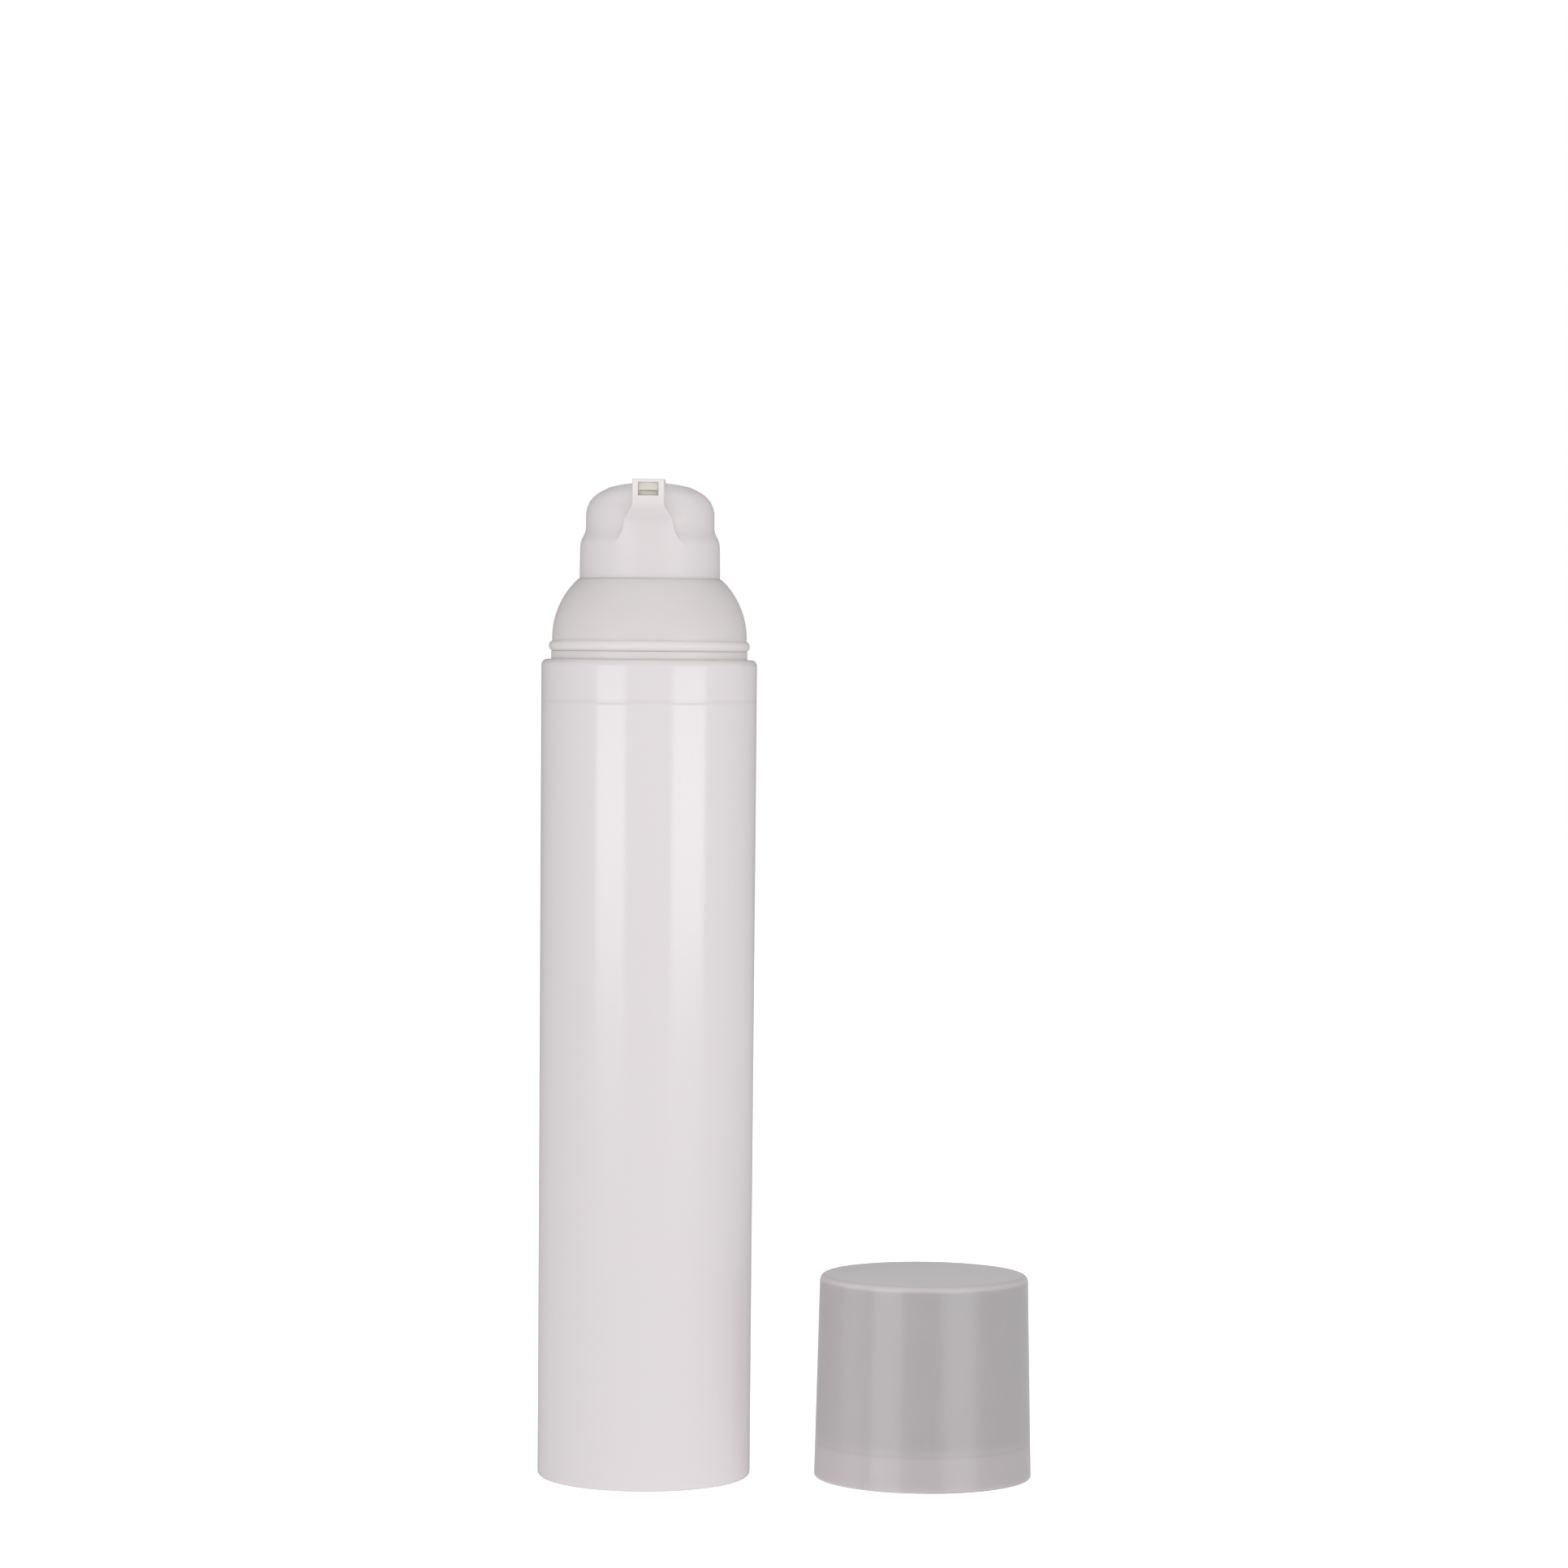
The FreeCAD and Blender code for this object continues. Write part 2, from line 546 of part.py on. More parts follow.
def make_cylinder_gasket():
    return make_gasket("cylinder_gasket", DECK_TOP, "Sizes.cylinder_gasket_thickness",
                       FLANGE_RADIUS, f"{BARREL_RADIUS} + Sizes.plug_clearance")


# Pump cylinder: flanged barrel with the inlet valve's cage, conical seat and inlet tube

def make_pump_cylinder():
    body = new_body("pump_cylinder")
    valve_radius = f"({CAGE_RADIUS} + Sizes.valve_wall)"
    cage_foot = f"({INLET_CONE} + {CAGE_RADIUS} - Sizes.inlet_radius)"
    floor_foot = f"({CYLINDER_FLOOR} - Sizes.cylinder_wall)"
    turned(body, "cylinder_turning", [
        ("Sizes.cylinder_radius", FLANGE_TOP),
        ("Sizes.cylinder_radius", CYLINDER_FLOOR),
        (f"{CAGE_RADIUS} - Sizes.cage_lip_reach", CYLINDER_FLOOR),
        (f"{CAGE_RADIUS} - Sizes.cage_lip_reach", CAGE_TOP),
        (CAGE_RADIUS, CAGE_TOP),
        (CAGE_RADIUS, cage_foot),
        ("Sizes.inlet_radius", INLET_CONE),
        ("Sizes.inlet_radius", PUMP_FOOT),
        (valve_radius, PUMP_FOOT),
        (valve_radius, floor_foot),
        (BARREL_RADIUS, floor_foot),
        (BARREL_RADIUS, FLANGE_FOOT),
        (FLANGE_RADIUS, FLANGE_FOOT),
        (FLANGE_RADIUS, FLANGE_TOP),
    ])
    return body


# Cylinder cap: closes the cylinder, guides the stem and seats the spring

def make_cylinder_cap():
    body = new_body("cylinder_cap")
    plug = "(Sizes.cylinder_radius - Sizes.slide_clearance)"
    guide = "(Sizes.stem_radius + Sizes.slide_clearance)"
    seat_outer = f"({SPRING_RADIUS} + Sizes.spring_wire)"
    seat_inner = f"({SPRING_RADIUS} - Sizes.spring_wire)"
    turned(body, "cylinder_cap_turning", [
        (guide, FLANGE_TOP),
        (f"{plug} - Sizes.cap_plug_wall", FLANGE_TOP),
        (f"{plug} - Sizes.cap_plug_wall", f"{FLANGE_TOP} - Sizes.cap_plug_depth"),
        (plug, f"{FLANGE_TOP} - Sizes.cap_plug_depth"),
        (plug, FLANGE_TOP),
        (FLANGE_RADIUS, FLANGE_TOP),
        (FLANGE_RADIUS, CYLINDER_CAP_TOP),
        (seat_outer, CYLINDER_CAP_TOP),
        (seat_outer, SPRING_SEAT),
        (seat_inner, SPRING_SEAT),
        (seat_inner, CYLINDER_CAP_TOP),
        (guide, CYLINDER_CAP_TOP),
    ])
    return body


# Stem: hollow rod with a collar for the spring, a shoulder for the piston and the outlet valve's seat

def make_pump_stem():
    body = new_body("pump_stem")
    shoulder_radius = "(Sizes.stem_radius + Sizes.stem_shoulder_width)"
    shoulder_foot = f"({PISTON_TOP} - Sizes.piston_web)"
    socket_top = f"({PISTON_FOOT} + Sizes.retainer_spigot_length)"
    cone_top = f"({OUTLET_CONE} + {OUTLET_CAGE_RADIUS} - Sizes.stem_bore)"
    turned(body, "stem_turning", [
        (RETAINER_SOCKET, PISTON_FOOT),
        ("Sizes.stem_radius", PISTON_FOOT),
        ("Sizes.stem_radius", shoulder_foot),
        (shoulder_radius, shoulder_foot),
        (shoulder_radius, f"{shoulder_foot} + Sizes.stem_shoulder_height"),
        ("Sizes.stem_radius", f"{shoulder_foot} + Sizes.stem_shoulder_height"),
        ("Sizes.stem_radius", COLLAR_FOOT),
        ("Sizes.hub_radius", COLLAR_FOOT),
        ("Sizes.hub_radius", HUB_FOOT),
        ("Sizes.stem_radius", HUB_FOOT),
        ("Sizes.stem_radius", STEM_TOP),
        (OUTLET_CAGE_RADIUS, STEM_TOP),
        (OUTLET_CAGE_RADIUS, cone_top),
        ("Sizes.stem_bore", OUTLET_CONE),
        ("Sizes.stem_bore", socket_top),
        (RETAINER_SOCKET, socket_top),
    ])
    return body


# Pump piston: sleeve with a sealing lip at each end

def make_pump_piston():
    body = new_body("pump_piston")
    bore = "(Sizes.stem_radius + Sizes.slide_clearance)"
    sleeve = f"({bore} + Sizes.piston_sleeve)"
    seal = "(Sizes.cylinder_radius - Sizes.slide_clearance)"
    lip_wall = f"({seal} - Sizes.piston_lip_flare)"
    middle = f"(({PISTON_TOP} + {PISTON_FOOT}) / 2)"
    sleeve_top = f"({PISTON_TOP} - Sizes.piston_web)"
    turned(body, "piston_turning", [
        (bore, PISTON_FOOT),
        (sleeve, PISTON_FOOT),
        (sleeve, f"{middle} - Sizes.piston_web / 2"),
        (f"{lip_wall} - Sizes.piston_lip", f"{middle} - Sizes.piston_web / 2"),
        (f"{seal} - Sizes.piston_lip", PISTON_FOOT),
        (seal, PISTON_FOOT),
        (lip_wall, f"{middle} - Sizes.piston_web / 2"),
        (lip_wall, f"{middle} + Sizes.piston_web / 2"),
        (seal, PISTON_TOP),
        (f"{seal} - Sizes.piston_lip", PISTON_TOP),
        (f"{lip_wall} - Sizes.piston_lip", f"{middle} + Sizes.piston_web / 2"),
        (sleeve, f"{middle} + Sizes.piston_web / 2"),
        (sleeve, sleeve_top),
        (bore, sleeve_top),
    ])
    return body


# Piston retainer: flanged bush in the foot of the stem, notched so that product passes

def make_piston_retainer():
    body = new_body("piston_retainer")
    spigot = f"({RETAINER_SOCKET} - Sizes.slide_clearance)"
    spigot_top = f"({PISTON_FOOT} + Sizes.retainer_spigot_length - Sizes.slide_clearance)"
    turned(body, "retainer_turning", [
        ("Sizes.retainer_bore", RETAINER_FOOT),
        (RETAINER_RADIUS, RETAINER_FOOT),
        (RETAINER_RADIUS, PISTON_FOOT),
        (spigot, PISTON_FOOT),
        (spigot, spigot_top),
        ("Sizes.retainer_bore", spigot_top),
    ])
    outline = new_sketch(body, "notch_outline")
    notch_inner = f"{RETAINER_RADIUS} - Sizes.retainer_notch"
    notch_outer = f"{RETAINER_RADIUS} + Sizes.overrun"
    draw(outline, [
        (notch_inner, f"{RETAINER_FOOT} - Sizes.overrun"),
        (notch_outer, f"{RETAINER_FOOT} - Sizes.overrun"),
        (notch_outer, f"{PISTON_FOOT} + Sizes.overrun"),
        (notch_inner, f"{PISTON_FOOT} + Sizes.overrun"),
    ])
    notch = pocket(body, "notch", outline, "Sizes.retainer_notch", both_ways=True)
    patterned(body, "notches", notch, NOTCH_COUNT)
    return body


# Valve balls

def make_ball(name, radius, level):
    ball = doc.addObject("Part::Sphere", name)
    ball.Label = name
    ball.setExpression("Radius", radius)
    ball.setExpression("Placement.Base.z", level)
    return ball


def make_inlet_ball():
    return make_ball("inlet_ball", "Sizes.inlet_ball_radius", INLET_BALL_LEVEL)


def make_outlet_ball():
    return make_ball("outlet_ball", "Sizes.outlet_ball_radius", OUTLET_BALL_LEVEL)


# Return spring: one unbroken wire with closed end turns, swept along pairs of tangent arcs

def biarc(start, start_way, end, end_way):
    """Two arcs that leave start and reach end along the given unit directions."""
    span = end - start
    both = start_way + end_way
    spread = 2 * (1 - start_way.dot(end_way))
    along = span.dot(both)
    reach = (-along + math.sqrt(along ** 2 + spread * span.dot(span))) / spread
    middle = (start + start_way * reach + end - end_way * reach) / 2
    return [tangent_arc(start, start_way, middle), tangent_arc(end, -end_way, middle)]


def tangent_arc(start, way, end):
    """The arc from start, leaving along way, to end."""
    chord = end - start
    side = (chord - way * chord.dot(way)).normalize()
    radius = chord.dot(chord) / (2 * chord.dot(side))
    centre = start + side * radius
    outward = ((start - centre) + (end - centre)).normalize()
    return Part.Arc(start, centre + outward * radius, end).toShape()


def spring_pitch(turn, closed_pitch, open_pitch):
    """The rise per turn at a place along the wire: closed at both ends, open between."""
    from_end = min(turn, SPRING_TURNS - turn)
    share = min(max(from_end / SPRING_CLOSED_TURNS - SPRING_LEAD_SHARE, 0), 1)
    return closed_pitch + (open_pitch - closed_pitch) * share


def make_pump_spring():
    wire = size("Sizes.spring_wire")
    radius = size(SPRING_RADIUS)
    seat = size(SPRING_SEAT)
    height = size("Sizes.spring_length - Sizes.spring_wire - 2 * Sizes.slide_clearance")
    closed_pitch = wire * SPRING_CLOSED_PITCH_SHARE
    steps = round(SPRING_TURNS * QUARTERS)
    middles = [(2 * step + 1) / (2 * QUARTERS) for step in range(steps)]
    closed_share = sum(spring_pitch(turn, 1, 0) for turn in middles) / QUARTERS
    open_share = sum(spring_pitch(turn, 0, 1) for turn in middles) / QUARTERS
    open_pitch = (height - closed_pitch * closed_share) / open_share
    levels = [seat + wire / 2 + size("Sizes.slide_clearance")]
    for turn in middles:
        levels.append(levels[-1] + spring_pitch(turn, closed_pitch, open_pitch) / QUARTERS)
    places = []
    ways = []
    for step, level in enumerate(levels):
        angle = step * math.pi / 2
        rise = spring_pitch(step / QUARTERS, closed_pitch, open_pitch) / (2 * math.pi)
        places.append(FreeCAD.Vector(radius * math.cos(angle), radius * math.sin(angle), level))
        ways.append(FreeCAD.Vector(-radius * math.sin(angle), radius * math.cos(angle), rise).normalize())
    edges = []
    for step in range(steps):
        first, second = biarc(places[step], ways[step], places[step + 1], ways[step + 1])
        edges.extend([first, second])
    path = Part.Wire(Part.__sortEdges__(edges))
    section = Part.Wire(Part.Circle(places[0], ways[0], wire / 2).toShape())
    shape = Part.Wire(path).makePipeShell([section], True, False)
    volume_share = shape.Volume / (math.pi * (wire / 2) ** 2 * path.Length)
    least_gap = min(levels[step + QUARTERS] - levels[step] for step in range(steps + 1 - QUARTERS)) - wire
    print(f"spring: volume over section times length {volume_share:.4f}, least gap {least_gap:.3f} mm")
    spring = doc.addObject("Part::Feature", "pump_spring")
    spring.Label = "pump_spring"
    spring.Shape = shape
    return spring


# Follower piston: cup with a sealing lip at each end and a well that takes the pump's foot

def make_follower_piston():
    body = new_body("follower_piston")
    top = f"({FOLLOWER_FOOT} + {FOLLOWER_HEIGHT})"
    seal = f"({BORE_RADIUS} - Sizes.slide_clearance)"
    wall = f"({seal} - Sizes.follower_lip_flare)"
    inner = f"({wall} - Sizes.follower_wall)"
    web_top = f"({top} - Sizes.follower_web_drop)"
    well_floor = f"({FOLLOWER_FOOT} + Sizes.follower_well_floor)"
    turned(body, "follower_turning", [
        ("0", well_floor),
        (f"{WELL_RADIUS} + Sizes.follower_wall", well_floor),
        (f"{WELL_RADIUS} + Sizes.follower_wall", f"{web_top} - Sizes.follower_wall"),
        (inner, f"{web_top} - Sizes.follower_wall"),
        (inner, f"{FOLLOWER_FOOT} + Sizes.follower_lip_height"),
        (f"{seal} - Sizes.follower_wall / 2", FOLLOWER_FOOT),
        (seal, FOLLOWER_FOOT),
        (wall, f"{FOLLOWER_FOOT} + Sizes.follower_lip_height"),
        (wall, f"{top} - Sizes.follower_lip_height"),
        (seal, top),
        (f"{seal} - Sizes.follower_wall / 2", top),
        (f"{inner} + Sizes.follower_wall / 2", web_top),
        (WELL_RADIUS, web_top),
        (WELL_RADIUS, f"{well_floor} + Sizes.follower_wall"),
        ("0", f"{well_floor} + Sizes.follower_wall"),
    ])
    return body


# Actuator: push button with a skirt, a stepped head, a front panel, a nozzle and a finger dish

def make_actuator():
    body = new_body("actuator")
    under_reach = f"({NOZZLE_CORNER} - {SKIRT_TOP_RADIUS})"
    under_length = f"sqrt({under_reach} ^ 2 + Sizes.nozzle_under_height ^ 2)"
    half_angle = f"(atan({under_reach} / Sizes.nozzle_under_height) / 2)"
    bend = f"(Sizes.nozzle_bend_round * tan({half_angle}))"
    turned(body, "actuator_envelope", [
        ("0", SKIRT_FOOT),
        (SKIRT_FOOT_RADIUS, SKIRT_FOOT),
        (SKIRT_TOP_RADIUS, STEP_FOOT),
        (SKIRT_TOP_RADIUS, f"{NOZZLE_BEND} - {bend}"),
        (f"{SKIRT_TOP_RADIUS} + {bend} * {under_reach} / {under_length}",
         f"{NOZZLE_BEND} + {bend} * Sizes.nozzle_under_height / {under_length}",
         "Sizes.nozzle_bend_round", -1),
        (NOZZLE_CORNER, NOZZLE_FOOT),
        (NOZZLE_CORNER, NOZZLE_TOP),
        ("0", NOZZLE_TOP),
    ])
    clear_nozzle_sides(body)
    add_head(body)
    cut_dish(body)
    hollow_actuator(body)
    cut_nozzle(body)
    add_ribs(body)
    round_nozzle(body)
    return body


def clear_nozzle_sides(body):
    """Cuts the envelope back to the nozzle and its flared front panel."""
    far = f"({NOZZLE_CORNER} + Sizes.overrun)"
    high = f"{NOZZLE_TOP} + Sizes.overrun"
    panel_drop = f"({NOZZLE_BEND} - {STEP_FOOT})"
    flare_end = f"({PANEL_WIDTH} / 2 + Sizes.panel_flare - sqrt(Sizes.panel_flare ^ 2 - {panel_drop} ^ 2))"
    for name, sign in (("right", ""), ("left", "-")):
        turn = 1 if name == "right" else -1
        outline = new_sketch(body, f"{name}_side_outline")
        draw(outline, [
            (f"{sign}{far}", high),
            (f"{sign}({NOZZLE_WIDTH} / 2)", high),
            (f"{sign}({NOZZLE_WIDTH} / 2)", f"{NOZZLE_FOOT} - Sizes.nozzle_side_drop"),
            (f"{sign}({PANEL_WIDTH} / 2)", NOZZLE_BEND),
            (f"{sign}{flare_end}", STEP_FOOT, "Sizes.panel_flare", turn),
            (f"{sign}{far}", STEP_FOOT),
        ])
        pocket(body, f"{name}_side", outline, f"2 * {far}", both_ways=True)
    back = new_sketch(body, "back_outline", "XY_Plane", NOZZLE_TOP)
    draw(back, [
        (f"-{far}", "0"),
        (far, "0"),
        (far, far),
        (f"-{far}", far),
    ])
    pocket(body, "back", back, f"{NOZZLE_TOP} - {STEP_FOOT}")
    face = new_sketch(body, "face_outline", "XY_Plane", f"{NOZZLE_TOP} + Sizes.overrun")
    draw(face, [
        (f"-{far}", f"-{far}"),
        (far, f"-{far}"),
        (far, f"-{NOZZLE_REACH}"),
        (f"-{far}", f"-{NOZZLE_REACH}"),
    ])
    pocket(body, "face", face, f"{NOZZLE_TOP} + Sizes.overrun - {STEP_FOOT}")


def add_head(body):
    """The round head, which leaves the skirt in a soft step and ends in a crowned top."""
    step_arc = "(((Sizes.step_height / 2) ^ 2 + (Sizes.step_width / 2) ^ 2) / Sizes.step_width)"
    turned(body, "head", [
        ("0", STEP_FOOT),
        (SKIRT_TOP_RADIUS, STEP_FOOT),
        (f"{SKIRT_TOP_RADIUS} - Sizes.step_width / 2", f"{STEP_FOOT} + Sizes.step_height / 2", step_arc, 1),
        (HEAD_RADIUS, HEAD_FOOT, step_arc, -1),
        (HEAD_RADIUS, CORNER_LEVEL),
        (CROWN_EDGE_RADIUS, CROWN_EDGE_LEVEL, "Sizes.head_corner", 1),
        ("0", CROWN_TOP, CROWN_RADIUS, 1),
    ])


def cut_dish(body):
    """The finger dish: hollow from front to back and slightly crowned from side to side."""
    half = f"({HEAD_RADIUS} + Sizes.overrun)"
    drop = f"(Sizes.dish_cross_radius - sqrt(Sizes.dish_cross_radius ^ 2 - {half} ^ 2))"
    axis_level = f"({DISH_LEVEL} + Sizes.dish_long_radius)"
    outline = new_sketch(body, "dish_outline")
    draw(outline, [
        (f"-{half}", axis_level),
        (f"-{half}", f"{DISH_LEVEL} - {drop}"),
        (half, f"{DISH_LEVEL} - {drop}", "Sizes.dish_cross_radius", -1),
        (half, axis_level),
    ])
    axis_line = Part.LineSegment(spot((f"-{half}", axis_level)), spot((half, axis_level)))
    axis = outline.addGeometry(axis_line, True)
    outline.addConstraint(Sketcher.Constraint("Coincident", axis, 1, 1, 1))
    outline.addConstraint(Sketcher.Constraint("Coincident", axis, 2, 3, 2))
    dish = body.newObject("PartDesign::Groove", "dish")
    dish.Profile = outline
    dish.ReferenceAxis = (outline, ["Axis0"])
    dish.Angle = 360
    finish_cut(dish)


def hollow_actuator(body):
    """Hollows the skirt and head round the hub, and bores the hub for the stem and the flow."""
    skirt_bore = f"({SKIRT_FOOT_RADIUS} - Sizes.skirt_wall)"
    head_bore = f"({HEAD_RADIUS} - Sizes.head_wall)"
    below = f"({SKIRT_FOOT} - Sizes.overrun)"
    socket = "(Sizes.stem_radius + Sizes.slide_clearance)"
    turned(body, "hollow", [
        ("0", below),
        (skirt_bore, below),
        (skirt_bore, STEP_FOOT),
        (head_bore, HEAD_FOOT),
        (head_bore, f"{ROOF_LEVEL} - Sizes.roof_round"),
        (f"{head_bore} - Sizes.roof_round", ROOF_LEVEL, "Sizes.roof_round", 1),
        ("Sizes.hub_radius", ROOF_LEVEL),
        ("Sizes.hub_radius", HUB_FOOT),
        (socket, HUB_FOOT),
        (socket, STEM_TOP),
        (FLOW_RADIUS, STEM_TOP),
        (FLOW_RADIUS, SLOT_TOP),
        ("0", SLOT_TOP),
    ], "PartDesign::Groove")


def cut_nozzle(body):
    """The mouth that holds the insert, and the duct from the hub to it."""
    half = "(Sizes.orifice_width / 2)"
    mouth = new_sketch(body, "mouth_outline", offset=f"{NOZZLE_REACH} + Sizes.overrun")
    draw(mouth, [
        (f"-{half}", ORIFICE_FOOT),
        (half, ORIFICE_FOOT),
        (half, ORIFICE_TOP),
        (f"-{half}", ORIFICE_TOP),
    ])
    depth = "(Sizes.insert_length + Sizes.insert_recess + Sizes.insert_clearance)"
    pocket(body, "mouth", mouth, f"{depth} + Sizes.overrun")
    duct_half = f"({FLOW_RADIUS} - Sizes.slide_clearance)"
    duct = new_sketch(body, "duct_outline", offset=f"{NOZZLE_REACH} - {depth} + Sizes.slide_clearance")
    draw(duct, [
        (f"-{duct_half}", SLOT_FOOT),
        (duct_half, SLOT_FOOT),
        (duct_half, SLOT_TOP),
        (f"-{duct_half}", SLOT_TOP),
    ])
    pocket(body, "duct", duct, f"{NOZZLE_REACH} - {depth} + Sizes.slide_clearance")


def add_ribs(body):
    """Thin ribs that stiffen the head between the hub and the wall."""
    outer = f"({HEAD_RADIUS} - Sizes.head_wall / 2)"
    inner = "(Sizes.hub_radius - Sizes.head_wall / 2)"
    outline = new_sketch(body, "rib_outline")
    draw(outline, [
        (inner, f"{ROOF_LEVEL} - Sizes.rib_height"),
        (outer, f"{ROOF_LEVEL} - Sizes.rib_height"),
        (outer, f"{ROOF_LEVEL} + Sizes.slide_clearance"),
        (inner, f"{ROOF_LEVEL} + Sizes.slide_clearance"),
    ])
    rib = body.newObject("PartDesign::Pad", "rib")
    rib.Profile = outline
    rib.SideType = "Symmetric"
    rib.setExpression("Length", "Sizes.rib_thickness")
    doc.recompute()
    patterned(body, "ribs", rib, RIB_COUNT)


def round_nozzle(body):
    """Softens the four outer edges of the nozzle's face."""
    base = body.Tip
    reach = size(NOZZLE_REACH)
    half = size("Sizes.orifice_width / 2")
    near = size("Sizes.rim_radius") * NEAR_SHARE
    names = []
    for number, edge in enumerate(base.Shape.Edges, start=1):
        middle = edge.BoundBox.Center
        on_face = abs(middle.y + reach) < near and edge.BoundBox.YLength < near
        mouth_edge = abs(middle.x) < half + near and abs(edge.BoundBox.XLength - 2 * half) < near
        mouth_edge = mouth_edge or abs(abs(middle.x) - half) < near
        if on_face and not mouth_edge:
            names.append(f"Edge{number}")
    softened = body.newObject("PartDesign::Fillet", "nozzle_edges")
    softened.Base = (base, names)
    softened.setExpression("Radius", "Sizes.nozzle_edge")
    body.Tip = softened
    doc.recompute()


# Nozzle insert: plug in the nozzle's mouth, cut back in a step below its face; the duct opens into the step

def make_nozzle_insert():
    body = new_body("nozzle_insert")
    half = "(Sizes.orifice_width / 2 - Sizes.insert_clearance)"
    foot = f"({ORIFICE_FOOT} + Sizes.insert_clearance)"
    top = f"({ORIFICE_TOP} - Sizes.insert_clearance)"
    front = f"({NOZZLE_REACH} - Sizes.insert_recess)"
    outline = new_sketch(body, "insert_outline", offset=f"{front} - Sizes.insert_length")
    draw(outline, [(f"-{half}", foot), (half, foot), (half, top), (f"-{half}", top)])
    block = body.newObject("PartDesign::Pad", "insert_block")
    block.Profile = outline
    block.setExpression("Length", "Sizes.insert_length")
    doc.recompute()
    step_top = f"({foot} + Sizes.insert_step_height)"
    step = new_sketch(body, "step_outline", offset=f"{front} + Sizes.overrun")
    draw(step, [
        (f"-{half} - Sizes.overrun", f"{foot} - Sizes.overrun"),
        (f"{half} + Sizes.overrun", f"{foot} - Sizes.overrun"),
        (f"{half} + Sizes.overrun", step_top),
        (f"-{half} - Sizes.overrun", step_top),
    ])
    pocket(body, "step", step, "Sizes.insert_step_depth + Sizes.overrun")
    slot_half = f"({SLOT_WIDTH} / 2)"
    duct_foot = f"({step_top} - Sizes.insert_duct_drop)"
    duct = new_sketch(body, "insert_duct_outline", offset=f"{front} - Sizes.insert_front_wall")
    draw(duct, [
        (f"-{slot_half}", duct_foot),
        (slot_half, duct_foot),
        (slot_half, f"{duct_foot} + Sizes.insert_duct_height"),
        (f"-{slot_half}", f"{duct_foot} + Sizes.insert_duct_height"),
    ])
    pocket(body, "insert_duct", duct, "Sizes.insert_length - Sizes.insert_front_wall + Sizes.overrun")
    return body


# Cap: drafted overcap with a thinner foot, which snaps under the shoulder's bead

def make_cap():
    body = new_body("cap")
    slope = f"(Sizes.cap_draft / {CAP_HEIGHT})"
    step_bore = f"({CAP_FOOT_RADIUS} - {slope} * Sizes.cap_step_height - Sizes.cap_wall)"
    top_bore = f"({CAP_FOOT_RADIUS} - {slope} * {CAP_ROOF_LEVEL} - Sizes.cap_wall)"
    snap_arc = "(((Sizes.cap_snap_height / 2) ^ 2 + Sizes.cap_snap_rise ^ 2) / (2 * Sizes.cap_snap_rise))"
    turned(body, "cap_turning", [
        (CAP_FOOT_BORE, "0"),
        (f"{CAP_FOOT_RADIUS} - Sizes.cap_foot_round", "0"),
        (CAP_FOOT_RADIUS, "Sizes.cap_foot_round", "Sizes.cap_foot_round", 1),
        (CAP_TOP_RADIUS, f"{CAP_HEIGHT} - Sizes.cap_round"),
        (f"{CAP_TOP_RADIUS} - Sizes.cap_round", CAP_HEIGHT, "Sizes.cap_round", 1),
        ("0", CAP_HEIGHT),
        ("0", CAP_ROOF_LEVEL),
        (f"{top_bore} - Sizes.cap_inner_round", CAP_ROOF_LEVEL),
        (top_bore, f"{CAP_ROOF_LEVEL} - Sizes.cap_inner_round", "Sizes.cap_inner_round", -1),
        (step_bore, "Sizes.cap_step_height"),
        (CAP_FOOT_BORE, "Sizes.cap_step_height"),
        (CAP_FOOT_BORE, "Sizes.cap_snap_level + Sizes.cap_snap_height / 2"),
        (CAP_FOOT_BORE, "Sizes.cap_snap_level - Sizes.cap_snap_height / 2", snap_arc, 1),
    ])
    body.setExpression("Placement.Base.x", f"Sizes.rim_radius + Sizes.cap_stand_gap + {CAP_FOOT_RADIUS}")
    body.setExpression("Placement.Base.y", "Sizes.cap_stand_back")
    return body


subparts = [
    make_container(),
    make_snap_ring(),
    make_shoulder(),
    make_neck_gasket(),
    make_cylinder_gasket(),
    make_pump_cylinder(),
    make_cylinder_cap(),
    make_pump_stem(),
    make_pump_piston(),
    make_piston_retainer(),
    make_inlet_ball(),
    make_outlet_ball(),
    make_pump_spring(),
    make_follower_piston(),
    make_actuator(),
    make_nozzle_insert(),
    make_cap(),
]
doc.recompute()

for item in doc.Objects:
    if "Invalid" in item.State or "Error" in item.State:
        raise RuntimeError(item.Name + " failed to compute")
for subpart in subparts:
    if subpart.Shape.isNull() or not subpart.Shape.isValid() or len(subpart.Shape.Solids) != 1:
        raise RuntimeError(subpart.Label + " is not one valid solid")

os.makedirs("parts", exist_ok=True)
for subpart in subparts:
    subpart.Shape.exportStep(f"parts/{subpart.Label}.step")
    print(f"{subpart.Label}: {subpart.Shape.Volume:.1f} mm3")
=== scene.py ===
import math

import bpy
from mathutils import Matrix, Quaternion, Vector


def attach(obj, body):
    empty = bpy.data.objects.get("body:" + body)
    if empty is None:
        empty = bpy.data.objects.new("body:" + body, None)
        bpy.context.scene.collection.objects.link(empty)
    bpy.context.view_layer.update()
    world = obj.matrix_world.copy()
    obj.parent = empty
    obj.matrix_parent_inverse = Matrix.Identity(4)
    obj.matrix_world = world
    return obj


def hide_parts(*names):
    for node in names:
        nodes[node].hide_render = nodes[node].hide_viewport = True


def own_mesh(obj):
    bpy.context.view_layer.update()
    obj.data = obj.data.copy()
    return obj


# An airless pump bottle and its overcap, as a studio shows them on a white table: a straight white
# tube with a domed shoulder and a press-down nozzle head, and the frosted grey cap taken off and
# standing beside it. Lengths are in metres.

